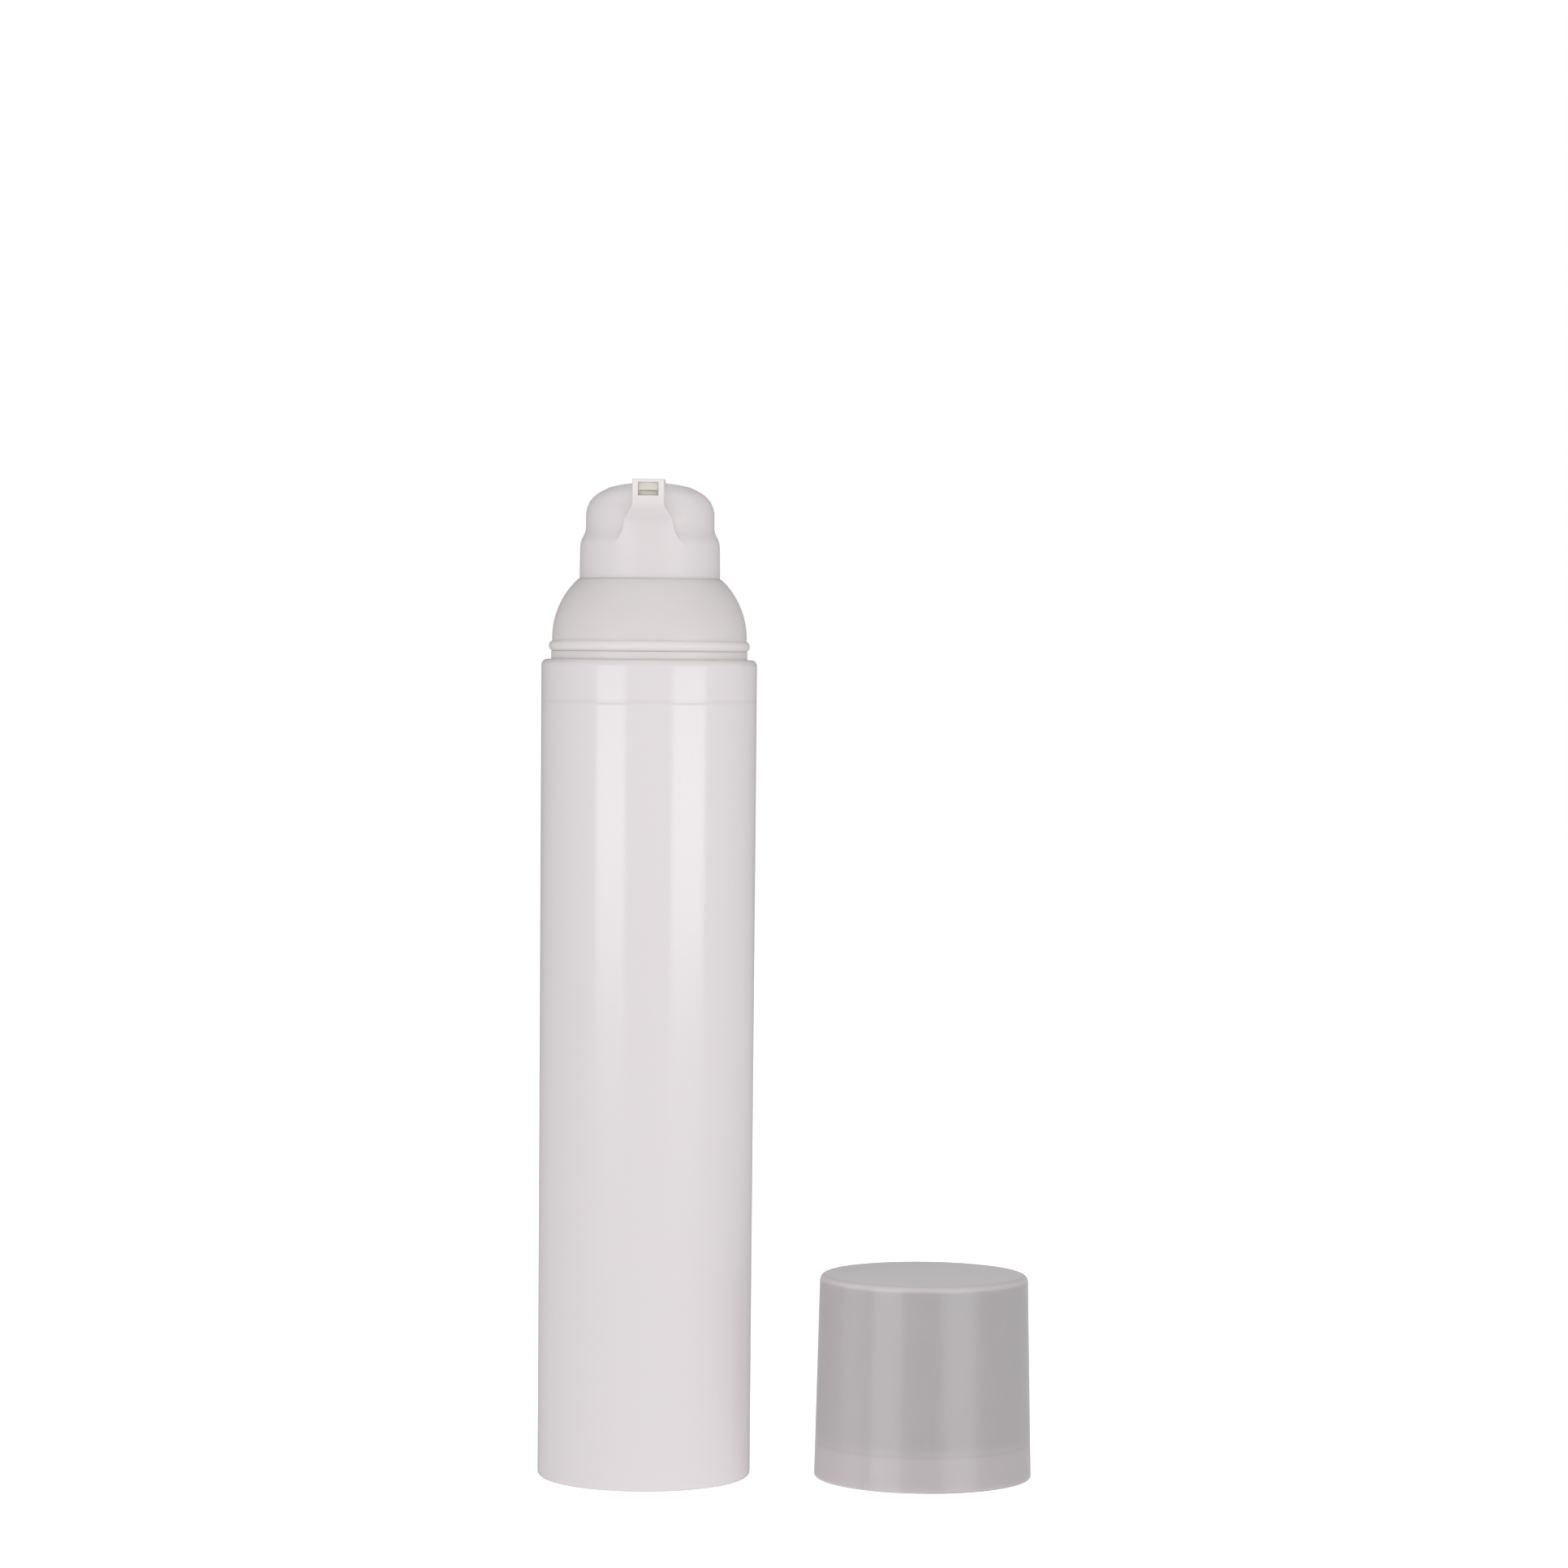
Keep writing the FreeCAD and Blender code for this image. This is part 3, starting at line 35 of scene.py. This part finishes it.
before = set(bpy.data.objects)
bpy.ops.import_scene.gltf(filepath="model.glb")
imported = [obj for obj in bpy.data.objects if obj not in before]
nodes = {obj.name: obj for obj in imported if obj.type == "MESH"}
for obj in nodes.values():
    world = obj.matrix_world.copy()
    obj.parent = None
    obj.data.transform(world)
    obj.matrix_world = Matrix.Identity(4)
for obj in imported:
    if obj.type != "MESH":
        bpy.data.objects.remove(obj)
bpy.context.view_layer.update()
bpy.ops.object.select_all(action="DESELECT")


# Container: a tube with a closed foot, injection moulded in one shot from white polypropylene and
# polished outside. The mould's core narrows a little below the mouth, and the change in the wall
# there reads as a fine line outside: a shallow sunk groove, darkened with painted shade.

def math_node(tree, operation, *values):
    """A math node on sockets and plain numbers, and its result."""
    node = tree.nodes.new("ShaderNodeMath")
    node.operation = operation
    for socket, value in zip(node.inputs, values):
        if isinstance(value, float):
            socket.default_value = value
        else:
            tree.links.new(value, socket)
    return node.outputs["Value"]


def smooth_ramp(tree, value, start, end, low=0.0, high=1.0):
    """Eases from a low result to a high one while the value goes from start to end."""
    ramp = tree.nodes.new("ShaderNodeMapRange")
    ramp.interpolation_type = "SMOOTHSTEP"
    ramp.inputs["From Min"].default_value = start
    ramp.inputs["From Max"].default_value = end
    ramp.inputs["To Min"].default_value = low
    ramp.inputs["To Max"].default_value = high
    tree.links.new(value, ramp.inputs["Value"])
    return ramp.outputs["Result"]


def plastic_surface():
    """The fine tone, gloss and relief of moulded plastic: slow flow waves under a pebbled skin."""
    group = bpy.data.node_groups.new("plastic_surface", "ShaderNodeTree")
    for in_out, kind, names in (
            ("INPUT", "NodeSocketColor", ("Color", "Flow Color")),
            ("INPUT", "NodeSocketFloat", ("Flow Size", "Skin Size", "Skin Height")),
            ("INPUT", "NodeSocketFloat", ("Roughness", "Roughness Spread")),
            ("OUTPUT", "NodeSocketColor", ("Color",)),
            ("OUTPUT", "NodeSocketFloat", ("Roughness", "Height"))):
        for name in names:
            group.interface.new_socket(name, in_out=in_out, socket_type=kind)
    add = group.nodes.new
    link = group.links.new
    given = add("NodeGroupInput").outputs
    result = add("NodeGroupOutput").inputs
    place = add("ShaderNodeTexCoord").outputs["Object"]

    def noise(size, detail):
        """Noise over the piece's own coordinates, at a size that the material gives."""
        texture = add("ShaderNodeTexNoise")
        texture.inputs["Detail"].default_value = detail
        link(place, texture.inputs["Vector"])
        link(given[size], texture.inputs["Scale"])
        return texture.outputs["Fac"]

    flow = noise("Flow Size", detail=2.0)
    tone = add("ShaderNodeMix")
    tone.data_type = "RGBA"
    link(flow, tone.inputs["Factor"])
    link(given["Color"], tone.inputs["A"])
    link(given["Flow Color"], tone.inputs["B"])
    link(tone.outputs["Result"], result["Color"])
    link(math_node(group, "MULTIPLY_ADD", flow, given["Roughness Spread"], given["Roughness"]),
         result["Roughness"])
    skin = noise("Skin Size", detail=3.0)
    link(math_node(group, "MULTIPLY", skin, given["Skin Height"]), result["Height"])
    return group


surface_group = plastic_surface()
relief_distance = 0.0001
index_of_refraction = 1.49


def finished_material(name, color, flow_color, roughness, spread, skin_size, skin_height,
                      flow_size=60.0):
    """A material whose colour, gloss and relief come from the shared surface group."""
    material = bpy.data.materials.new(name)
    material.use_nodes = True
    tree = material.node_tree
    shader = tree.nodes["Principled BSDF"]
    surface = tree.nodes.new("ShaderNodeGroup")
    surface.node_tree = surface_group
    for socket, value in (("Color", (*color, 1.0)), ("Flow Color", (*flow_color, 1.0)),
                          ("Flow Size", flow_size), ("Skin Size", skin_size),
                          ("Skin Height", skin_height), ("Roughness", roughness),
                          ("Roughness Spread", spread)):
        surface.inputs[socket].default_value = value
    relief = tree.nodes.new("ShaderNodeBump")
    relief.inputs["Distance"].default_value = relief_distance
    tree.links.new(surface.outputs["Height"], relief.inputs["Height"])
    tree.links.new(surface.outputs["Color"], shader.inputs["Base Color"])
    tree.links.new(surface.outputs["Roughness"], shader.inputs["Roughness"])
    tree.links.new(relief.outputs["Normal"], shader.inputs["Normal"])
    shader.inputs["IOR"].default_value = index_of_refraction
    return material


def finish_with(material, *names):
    """Gives CAD nodes their finished material."""
    for name in names:
        nodes[name].data.materials.clear()
        nodes[name].data.materials.append(material)


def mask_by_height(material, level, half_width, fade):
    """1 within half a width of a level of the piece's own height, fading out to 0 past it."""
    tree = material.node_tree
    place = tree.nodes.new("ShaderNodeTexCoord")
    parts = tree.nodes.new("ShaderNodeSeparateXYZ")
    tree.links.new(place.outputs["Object"], parts.inputs["Vector"])
    away = math_node(tree, "ABSOLUTE", math_node(tree, "SUBTRACT", parts.outputs["Z"], level))
    return smooth_ramp(tree, away, start=half_width, end=half_width + fade, low=1.0, high=0.0)


def tint(material, mask, color):
    """Turns the material's colour to another where the mask is 1."""
    tree = material.node_tree
    shader = tree.nodes["Principled BSDF"]
    before = shader.inputs["Base Color"].links[0].from_socket
    mix = tree.nodes.new("ShaderNodeMix")
    mix.data_type = "RGBA"
    mix.inputs["B"].default_value = (*color, 1.0)
    tree.links.new(mask, mix.inputs["Factor"])
    tree.links.new(before, mix.inputs["A"])
    tree.links.new(mix.outputs["Result"], shader.inputs["Base Color"])


def sink(material, mask, depth):
    """Sinks the surface by a depth where the mask is 1."""
    tree = material.node_tree
    shader = tree.nodes["Principled BSDF"]
    before = shader.inputs["Normal"].links[0].from_socket
    dent = tree.nodes.new("ShaderNodeBump")
    dent.invert = True
    dent.inputs["Distance"].default_value = depth
    tree.links.new(mask, dent.inputs["Height"])
    tree.links.new(before, dent.inputs["Normal"])
    tree.links.new(dent.outputs["Normal"], shader.inputs["Normal"])


container_plastic = finished_material(
    "container_plastic", color=(0.755, 0.712, 0.726), flow_color=(0.745, 0.705, 0.715),
    roughness=0.15, spread=0.03, skin_size=900.0, skin_height=0.012)
# The fine line is a shallow groove sunk into the relief; its darker colour is painted shade in it.
witness_groove_and_shade = mask_by_height(container_plastic, level=0.14415, half_width=0.00006, fade=0.00055)
tint(container_plastic, witness_groove_and_shade, color=(0.72, 0.675, 0.688))
sink(container_plastic, witness_groove_and_shade, depth=0.00002)
finish_with(container_plastic, "container")


# Pistons: the follower that rises in the container behind the product, and the pump's own sleeve,
# which slides in the pump cylinder. Both are moulded from soft polyethylene, with thin sealing lips
# that hold them in their bores.

piston_plastic = finished_material(
    "piston_plastic", color=(0.76, 0.76, 0.74), flow_color=(0.73, 0.73, 0.71),
    roughness=0.38, spread=0.05, skin_size=900.0, skin_height=0.02)
finish_with(piston_plastic, "follower_piston", "pump_piston")


# Gaskets: two flat rings of soft white rubber. One is pinched between the container's inner ledge
# and the snap ring, the other between the ring's deck and the pump's flange.

seal_rubber = finished_material(
    "seal_rubber", color=(0.70, 0.70, 0.68), flow_color=(0.66, 0.66, 0.64),
    roughness=0.6, spread=0.08, skin_size=1200.0, skin_height=0.05)
finish_with(seal_rubber, "neck_gasket", "cylinder_gasket")


# Snap ring: the inner collar, moulded from natural polypropylene, that plugs into the container's
# mouth and carries the pump. Its neck shows as a cream band between the rim and the shoulder.

def lit_through(material, share, depths):
    """Lets light pass under the skin: a share of it, to a depth each for red, green and blue."""
    shader = material.node_tree.nodes["Principled BSDF"]
    shader.inputs["Subsurface Weight"].default_value = share
    shader.inputs["Subsurface Radius"].default_value = depths
    shader.inputs["Subsurface Scale"].default_value = 1.0


natural_plastic = finished_material(
    "natural_plastic", color=(0.82, 0.78, 0.757), flow_color=(0.80, 0.762, 0.737),
    roughness=0.32, spread=0.05, skin_size=900.0, skin_height=0.015)
lit_through(natural_plastic, share=0.5, depths=(0.0015, 0.0014, 0.0012))
finish_with(natural_plastic, "snap_ring")


# Pump: the cylinder, the cap that closes it, the hollow stem and the bush that holds the piston on
# the stem. They are moulded from the same natural polypropylene as the snap ring that carries them.

finish_with(natural_plastic, "pump_cylinder", "cylinder_cap", "pump_stem", "piston_retainer")


# Valve balls: two polished balls of stainless steel, ground round. One lies loose in a cage at the
# pump's inlet, the other on its seat at the top of the stem.

steel = finished_material(
    "steel", color=(0.60, 0.60, 0.61), flow_color=(0.55, 0.55, 0.56),
    roughness=0.22, spread=0.08, skin_size=2500.0, skin_height=0.02)
steel.node_tree.nodes["Principled BSDF"].inputs["Metallic"].default_value = 1.0
finish_with(steel, "inlet_ball", "outlet_ball")


# Return spring: a coil of drawn stainless wire round the stem, between the pump's cap and the
# stem's collar. It is squeezed as the button goes down. A copy of the wire, with its doubled
# points merged and its shading smoothed, stands for it.

finish_with(steel, "pump_spring")
return_spring = bpy.data.objects.new("return_spring", nodes["pump_spring"].data.copy())
bpy.context.scene.collection.objects.link(return_spring)
bpy.ops.object.select_all(action="DESELECT")
return_spring.select_set(True)
bpy.context.view_layer.objects.active = return_spring
bpy.ops.object.mode_set(mode="EDIT")
bpy.ops.mesh.select_all(action="SELECT")
bpy.ops.mesh.remove_doubles(threshold=0.000001)
bpy.ops.object.mode_set(mode="OBJECT")
bpy.ops.object.shade_smooth_by_angle(angle=math.radians(40.0))
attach(return_spring, "bottle")
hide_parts("pump_spring")
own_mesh(return_spring)


# Shoulder: the domed collar, moulded from white polypropylene. It snaps over the snap ring's
# spigot, and the cap snaps under the bead round its foot.

shoulder_plastic = finished_material(
    "shoulder_plastic", color=(0.735, 0.697, 0.696), flow_color=(0.725, 0.686, 0.686),
    roughness=0.22, spread=0.04, skin_size=900.0, skin_height=0.012)
lit_through(shoulder_plastic, share=0.5, depths=(0.0012, 0.0011, 0.0010))
# Painted light: the bead's foot is coloured paler, standing in for the light thrown up from the
# table.
bead_foot_painted_light = mask_by_height(shoulder_plastic, level=0.1540, half_width=0.0008, fade=0.0010)
tint(shoulder_plastic, bead_foot_painted_light, color=(0.80, 0.758, 0.76))
finish_with(shoulder_plastic, "shoulder")


# Actuator: the push button, moulded in one from the same white as the shoulder but a little softer
# in gloss, and pushed onto the stem. Light passes into its thin nozzle.

actuator_plastic = finished_material(
    "actuator_plastic", color=(0.757, 0.717, 0.727), flow_color=(0.747, 0.707, 0.714),
    roughness=0.24, spread=0.04, skin_size=900.0, skin_height=0.014)
lit_through(actuator_plastic, share=0.35, depths=(0.0008, 0.0007, 0.0006))
# Painted light: the top of the head is coloured paler, fading out below, as if more light fell from
# above.
crown_painted_light = mask_by_height(actuator_plastic, level=0.1870, half_width=0.0035, fade=0.0055)
tint(actuator_plastic, crown_painted_light, color=(0.83, 0.787, 0.796))
finish_with(actuator_plastic, "actuator")


# Nozzle insert: a moulded cream plug, pressed into the nozzle's mouth and cut back in a step below
# its face. It is thin, and light passes well into it.

insert_plastic = finished_material(
    "insert_plastic", color=(0.765, 0.735, 0.665), flow_color=(0.74, 0.712, 0.64),
    roughness=0.4, spread=0.05, skin_size=1500.0, skin_height=0.02)
lit_through(insert_plastic, share=0.5, depths=(0.0006, 0.0006, 0.0005))
# Painted light: a band at the step's height is coloured paler, standing in for light on the face
# above the shaded slot.
insert_face_painted_light = mask_by_height(insert_plastic, level=0.1822, half_width=0.0005, fade=0.0003)
tint(insert_plastic, insert_face_painted_light, color=(0.88, 0.86, 0.74))
finish_with(insert_plastic, "nozzle_insert")


# Cap: a drafted overcap with a thinner wall at its foot, moulded from frosted grey polypropylene.
# It snaps under the shoulder's bead, and here it is taken off and stands beside the bottle. Its
# roof has a duller finish of its own, and its paler colour there is painted light.

cap_plastic = finished_material(
    "cap_plastic", color=(0.45, 0.420, 0.431), flow_color=(0.425, 0.412, 0.418),
    roughness=0.34, spread=0.03, skin_size=1500.0, skin_height=0.02, flow_size=90.0)
lit_through(cap_plastic, share=0.7, depths=(0.0040, 0.0040, 0.0040))
round_about = cap_plastic.node_tree.nodes.new("ShaderNodeTangent")
round_about.direction_type = "RADIAL"
round_about.axis = "Z"
cap_shader = cap_plastic.node_tree.nodes["Principled BSDF"]
cap_plastic.node_tree.links.new(round_about.outputs["Tangent"], cap_shader.inputs["Tangent"])
cap_shader.inputs["Anisotropic"].default_value = 0.9
cap_shader.inputs["Anisotropic Rotation"].default_value = 0.25
cap_shader.inputs["Sheen Weight"].default_value = 0.15
cap_shader.inputs["Sheen Roughness"].default_value = 0.4
# Painted light: the foot is coloured paler, standing in for the light that shows through its
# thinner wall.
thin_foot_painted_light = mask_by_height(cap_plastic, level=0.0, half_width=0.0055, fade=0.0035)
tint(cap_plastic, thin_foot_painted_light, color=(0.485, 0.453, 0.464))
# Painted shade: a thin darker ring at the height where the wall steps inside.
step_line_painted_shade = mask_by_height(cap_plastic, level=0.0066, half_width=0.0001, fade=0.0004)
tint(cap_plastic, step_line_painted_shade, color=(0.452, 0.422, 0.433))
# Painted highlight: a paler ring round the roof's rounded edge.
corner_painted_highlight = mask_by_height(cap_plastic, level=0.0382, half_width=0.0010, fade=0.0008)
tint(cap_plastic, corner_painted_highlight, color=(0.56, 0.523, 0.538))
finish_with(cap_plastic, "cap")

# The roof's duller gloss is its finish; its paler colour than the side's is painted light.
roof_finish_and_painted_light = finished_material(
    "cap_roof_finish_and_painted_light", color=(0.555, 0.512, 0.528), flow_color=(0.53, 0.502, 0.515),
    roughness=0.55, spread=0.04, skin_size=1500.0, skin_height=0.02, flow_size=90.0)
lit_through(roof_finish_and_painted_light, share=0.5, depths=(0.0015, 0.0015, 0.0015))
roof_shader = roof_finish_and_painted_light.node_tree.nodes["Principled BSDF"]
roof_shader.inputs["Specular IOR Level"].default_value = 0.25
roof_shader.inputs["Sheen Weight"].default_value = 0.5
roof_shader.inputs["Sheen Roughness"].default_value = 0.5
nodes["cap"].data.materials.append(roof_finish_and_painted_light)
roof_slot, roof_low, nearly_level = 1, 0.037, 0.99
for polygon in nodes["cap"].data.polygons:
    if polygon.normal.z > nearly_level and polygon.center.z > roof_low:
        polygon.material_index = roof_slot


# Table: a white sheet that the bottle and the cap stand on. It glows a little, as a lit table
# does, and the camera sees it white but for the shadow.

def level_where_seen(tree, hidden, shown, in_gloss):
    """One level for rays that light the object, one for the camera's, one for gloss and glass."""
    rays = tree.nodes.new("ShaderNodeLightPath").outputs
    mirrored = tree.nodes.new("ShaderNodeMapRange")
    mirrored.inputs["To Min"].default_value = hidden
    mirrored.inputs["To Max"].default_value = in_gloss
    tree.links.new(math_node(tree, "MAXIMUM", rays["Is Glossy Ray"], rays["Is Transmission Ray"]),
                   mirrored.inputs["Value"])
    level = tree.nodes.new("ShaderNodeMapRange")
    level.inputs["To Max"].default_value = shown
    tree.links.new(rays["Is Camera Ray"], level.inputs["Value"])
    tree.links.new(mirrored.outputs["Result"], level.inputs["To Min"])
    return level.outputs["Result"]


bpy.ops.mesh.primitive_plane_add(size=4.8, location=(0.0, 0.0, 0.0))
table_sheet = bpy.context.object
table_sheet.name = "table_sheet"
sheet_white = bpy.data.materials.new("sheet_white")
sheet_white.use_nodes = True
sheet_tree = sheet_white.node_tree
sheet_shader = sheet_tree.nodes["Principled BSDF"]
sheet_shader.inputs["Base Color"].default_value = (0.6, 0.6, 0.6, 1.0)
sheet_shader.inputs["Roughness"].default_value = 1.0
sheet_shader.inputs["Specular IOR Level"].default_value = 0.0
sheet_shader.inputs["Emission Color"].default_value = (1.0, 1.0, 1.0, 1.0)
sheet_tree.links.new(level_where_seen(sheet_tree, hidden=0.52, shown=0.82, in_gloss=0.05),
                     sheet_shader.inputs["Emission Strength"])
sheet_white.cycles.emission_sampling = "NONE"
table_sheet.data.materials.append(sheet_white)


# Background: the white behind the table. The camera and anything glossy see it at full white, and
# it lights the object a little less.

studio = bpy.data.worlds.new("studio")
bpy.context.scene.world = studio
studio.use_nodes = True
background = studio.node_tree.nodes["Background"]
background.inputs["Color"].default_value = (1.0, 1.0, 1.0, 1.0)
studio.node_tree.links.new(
    level_where_seen(studio.node_tree, hidden=0.7, shown=1.0, in_gloss=1.0),
    background.inputs["Strength"])


# Light tent: the pale cloth hung round the table, brightest in front and greyer above and behind,
# which draws the edges of a white object on white. The camera doesn't see it.

bpy.ops.mesh.primitive_uv_sphere_add(segments=64, ring_count=32, radius=2.5,
                                     location=(0.0, 0.0, 0.0))
light_tent = bpy.context.object
light_tent.name = "light_tent"
light_tent.visible_camera = False
light_tent.visible_shadow = False
tent_cloth = bpy.data.materials.new("tent_cloth")
tent_cloth.use_nodes = True
tent_tree = tent_cloth.node_tree
tent_tree.nodes.remove(tent_tree.nodes["Principled BSDF"])
place = tent_tree.nodes.new("ShaderNodeTexCoord")
way = tent_tree.nodes.new("ShaderNodeVectorMath")
way.operation = "NORMALIZE"
tent_tree.links.new(place.outputs["Object"], way.inputs[0])
parts = tent_tree.nodes.new("ShaderNodeSeparateXYZ")
tent_tree.links.new(way.outputs["Vector"], parts.inputs["Vector"])
front = smooth_ramp(tent_tree, parts.outputs["Y"], start=0.75, end=-0.65, low=0.28, high=0.88)
above = smooth_ramp(tent_tree, parts.outputs["Z"], start=0.05, end=0.9, low=1.0, high=0.72)
zenith = smooth_ramp(tent_tree, parts.outputs["Z"], start=0.6, end=0.97, high=0.50)
glow = tent_tree.nodes.new("ShaderNodeEmission")
tent_tree.links.new(
    math_node(tent_tree, "ADD", math_node(tent_tree, "MULTIPLY", front, above), zenith),
    glow.inputs["Strength"])
tent_tree.links.new(glow.outputs["Emission"],
                    tent_tree.nodes["Material Output"].inputs["Surface"])
tent_cloth.cycles.emission_sampling = "NONE"
light_tent.data.materials.append(tent_cloth)


# Lamps: two wide soft boxes in front, one at each side of the camera, light the bottle. Two strip
# boxes make the gloss of the cap and a fill lightens its left side, and a low fill from the right
# lightens the container's foot. Those four light only their own piece.

def soft_box(name, bearing, distance, low, high, spread, power, across=0.0):
    """A box at a bearing from the front round a point across; it spans a width in degrees."""
    width = 2.0 * distance * math.tan(math.radians(spread) / 2.0)
    height = high - low
    lamp_data = bpy.data.lights.new(name, "AREA")
    lamp_data.shape = "RECTANGLE"
    lamp_data.size = width
    lamp_data.size_y = height
    lamp_data.energy = power * width * height * math.pi
    lamp = bpy.data.objects.new(name, lamp_data)
    bpy.context.scene.collection.objects.link(lamp)
    angle = math.radians(bearing)
    away = Vector((distance * math.sin(angle), -distance * math.cos(angle), 0.0))
    lamp.location = away + Vector((across, 0.0, (low + high) / 2.0))
    lamp.rotation_mode = "QUATERNION"
    lamp.rotation_quaternion = away.to_track_quat("Z", "Y")
    return lamp


def light_only(lamp, pieces, shadows=True):
    """Keeps a lamp's light, and where told the shadows in it, to one collection of pieces."""
    lamp.light_linking.receiver_collection = pieces
    if shadows:
        lamp.light_linking.blocker_collection = pieces


cap_across = 0.052
soft_box("left_box", bearing=-39.1, distance=1.0, low=0.032, high=0.1455, spread=32.4, power=3.8)
soft_box("right_box", bearing=45.1, distance=1.0, low=0.032, high=0.1455, spread=37.3, power=3.8)
gloss_on_cap = bpy.data.collections.new("gloss_on_cap")
gloss_on_cap.objects.link(nodes["cap"])
for strip in (soft_box("left_strip", bearing=-41.4, distance=1.0, low=0.01, high=0.40,
                       spread=35.4, power=5.2, across=cap_across),
              soft_box("right_strip", bearing=37.1, distance=1.0, low=0.01, high=0.40,
                       spread=37.2, power=4.8, across=cap_across)):
    strip.visible_diffuse = False
    light_only(strip, gloss_on_cap, shadows=False)
left_fill = soft_box("left_fill", bearing=-82.0, distance=0.6, low=0.01, high=0.26,
                     spread=30.0, power=2.1, across=cap_across)
light_only(left_fill, gloss_on_cap)
gloss_on_tube = bpy.data.collections.new("gloss_on_tube")
gloss_on_tube.objects.link(nodes["container"])
foot_fill = soft_box("foot_fill", bearing=88.0, distance=0.3, low=0.0, high=0.045,
                     spread=30.0, power=2.2)
foot_fill.visible_glossy = False
light_only(foot_fill, gloss_on_tube)


# Camera: a long lens about 0.9 m in front, 2 mm above the height of the container's rim. It is
# turned slightly down and rolled by about half a degree, and its focal length is in photo pixels.

sensor_width, focal_pixels, photo_pixels = 36.0, 6000.0, 1932.0
turned_down, rolled = math.radians(1.585), math.radians(0.45)
camera_data = bpy.data.cameras.new("camera")
camera_data.sensor_width = sensor_width
camera_data.lens = sensor_width * focal_pixels / photo_pixels
camera_data.clip_start = 0.05
camera_data.clip_end = 50.0
camera = bpy.data.objects.new("camera", camera_data)
bpy.context.scene.collection.objects.link(camera)
camera.location = (0.02518, -0.904, 0.15395)
camera.rotation_mode = "QUATERNION"
camera.rotation_quaternion = (Quaternion((1.0, 0.0, 0.0), math.radians(90.0) - turned_down)
                              @ Quaternion((0.0, 0.0, 1.0), rolled))
bpy.context.scene.camera = camera
bpy.context.scene.view_settings.view_transform = "Standard"
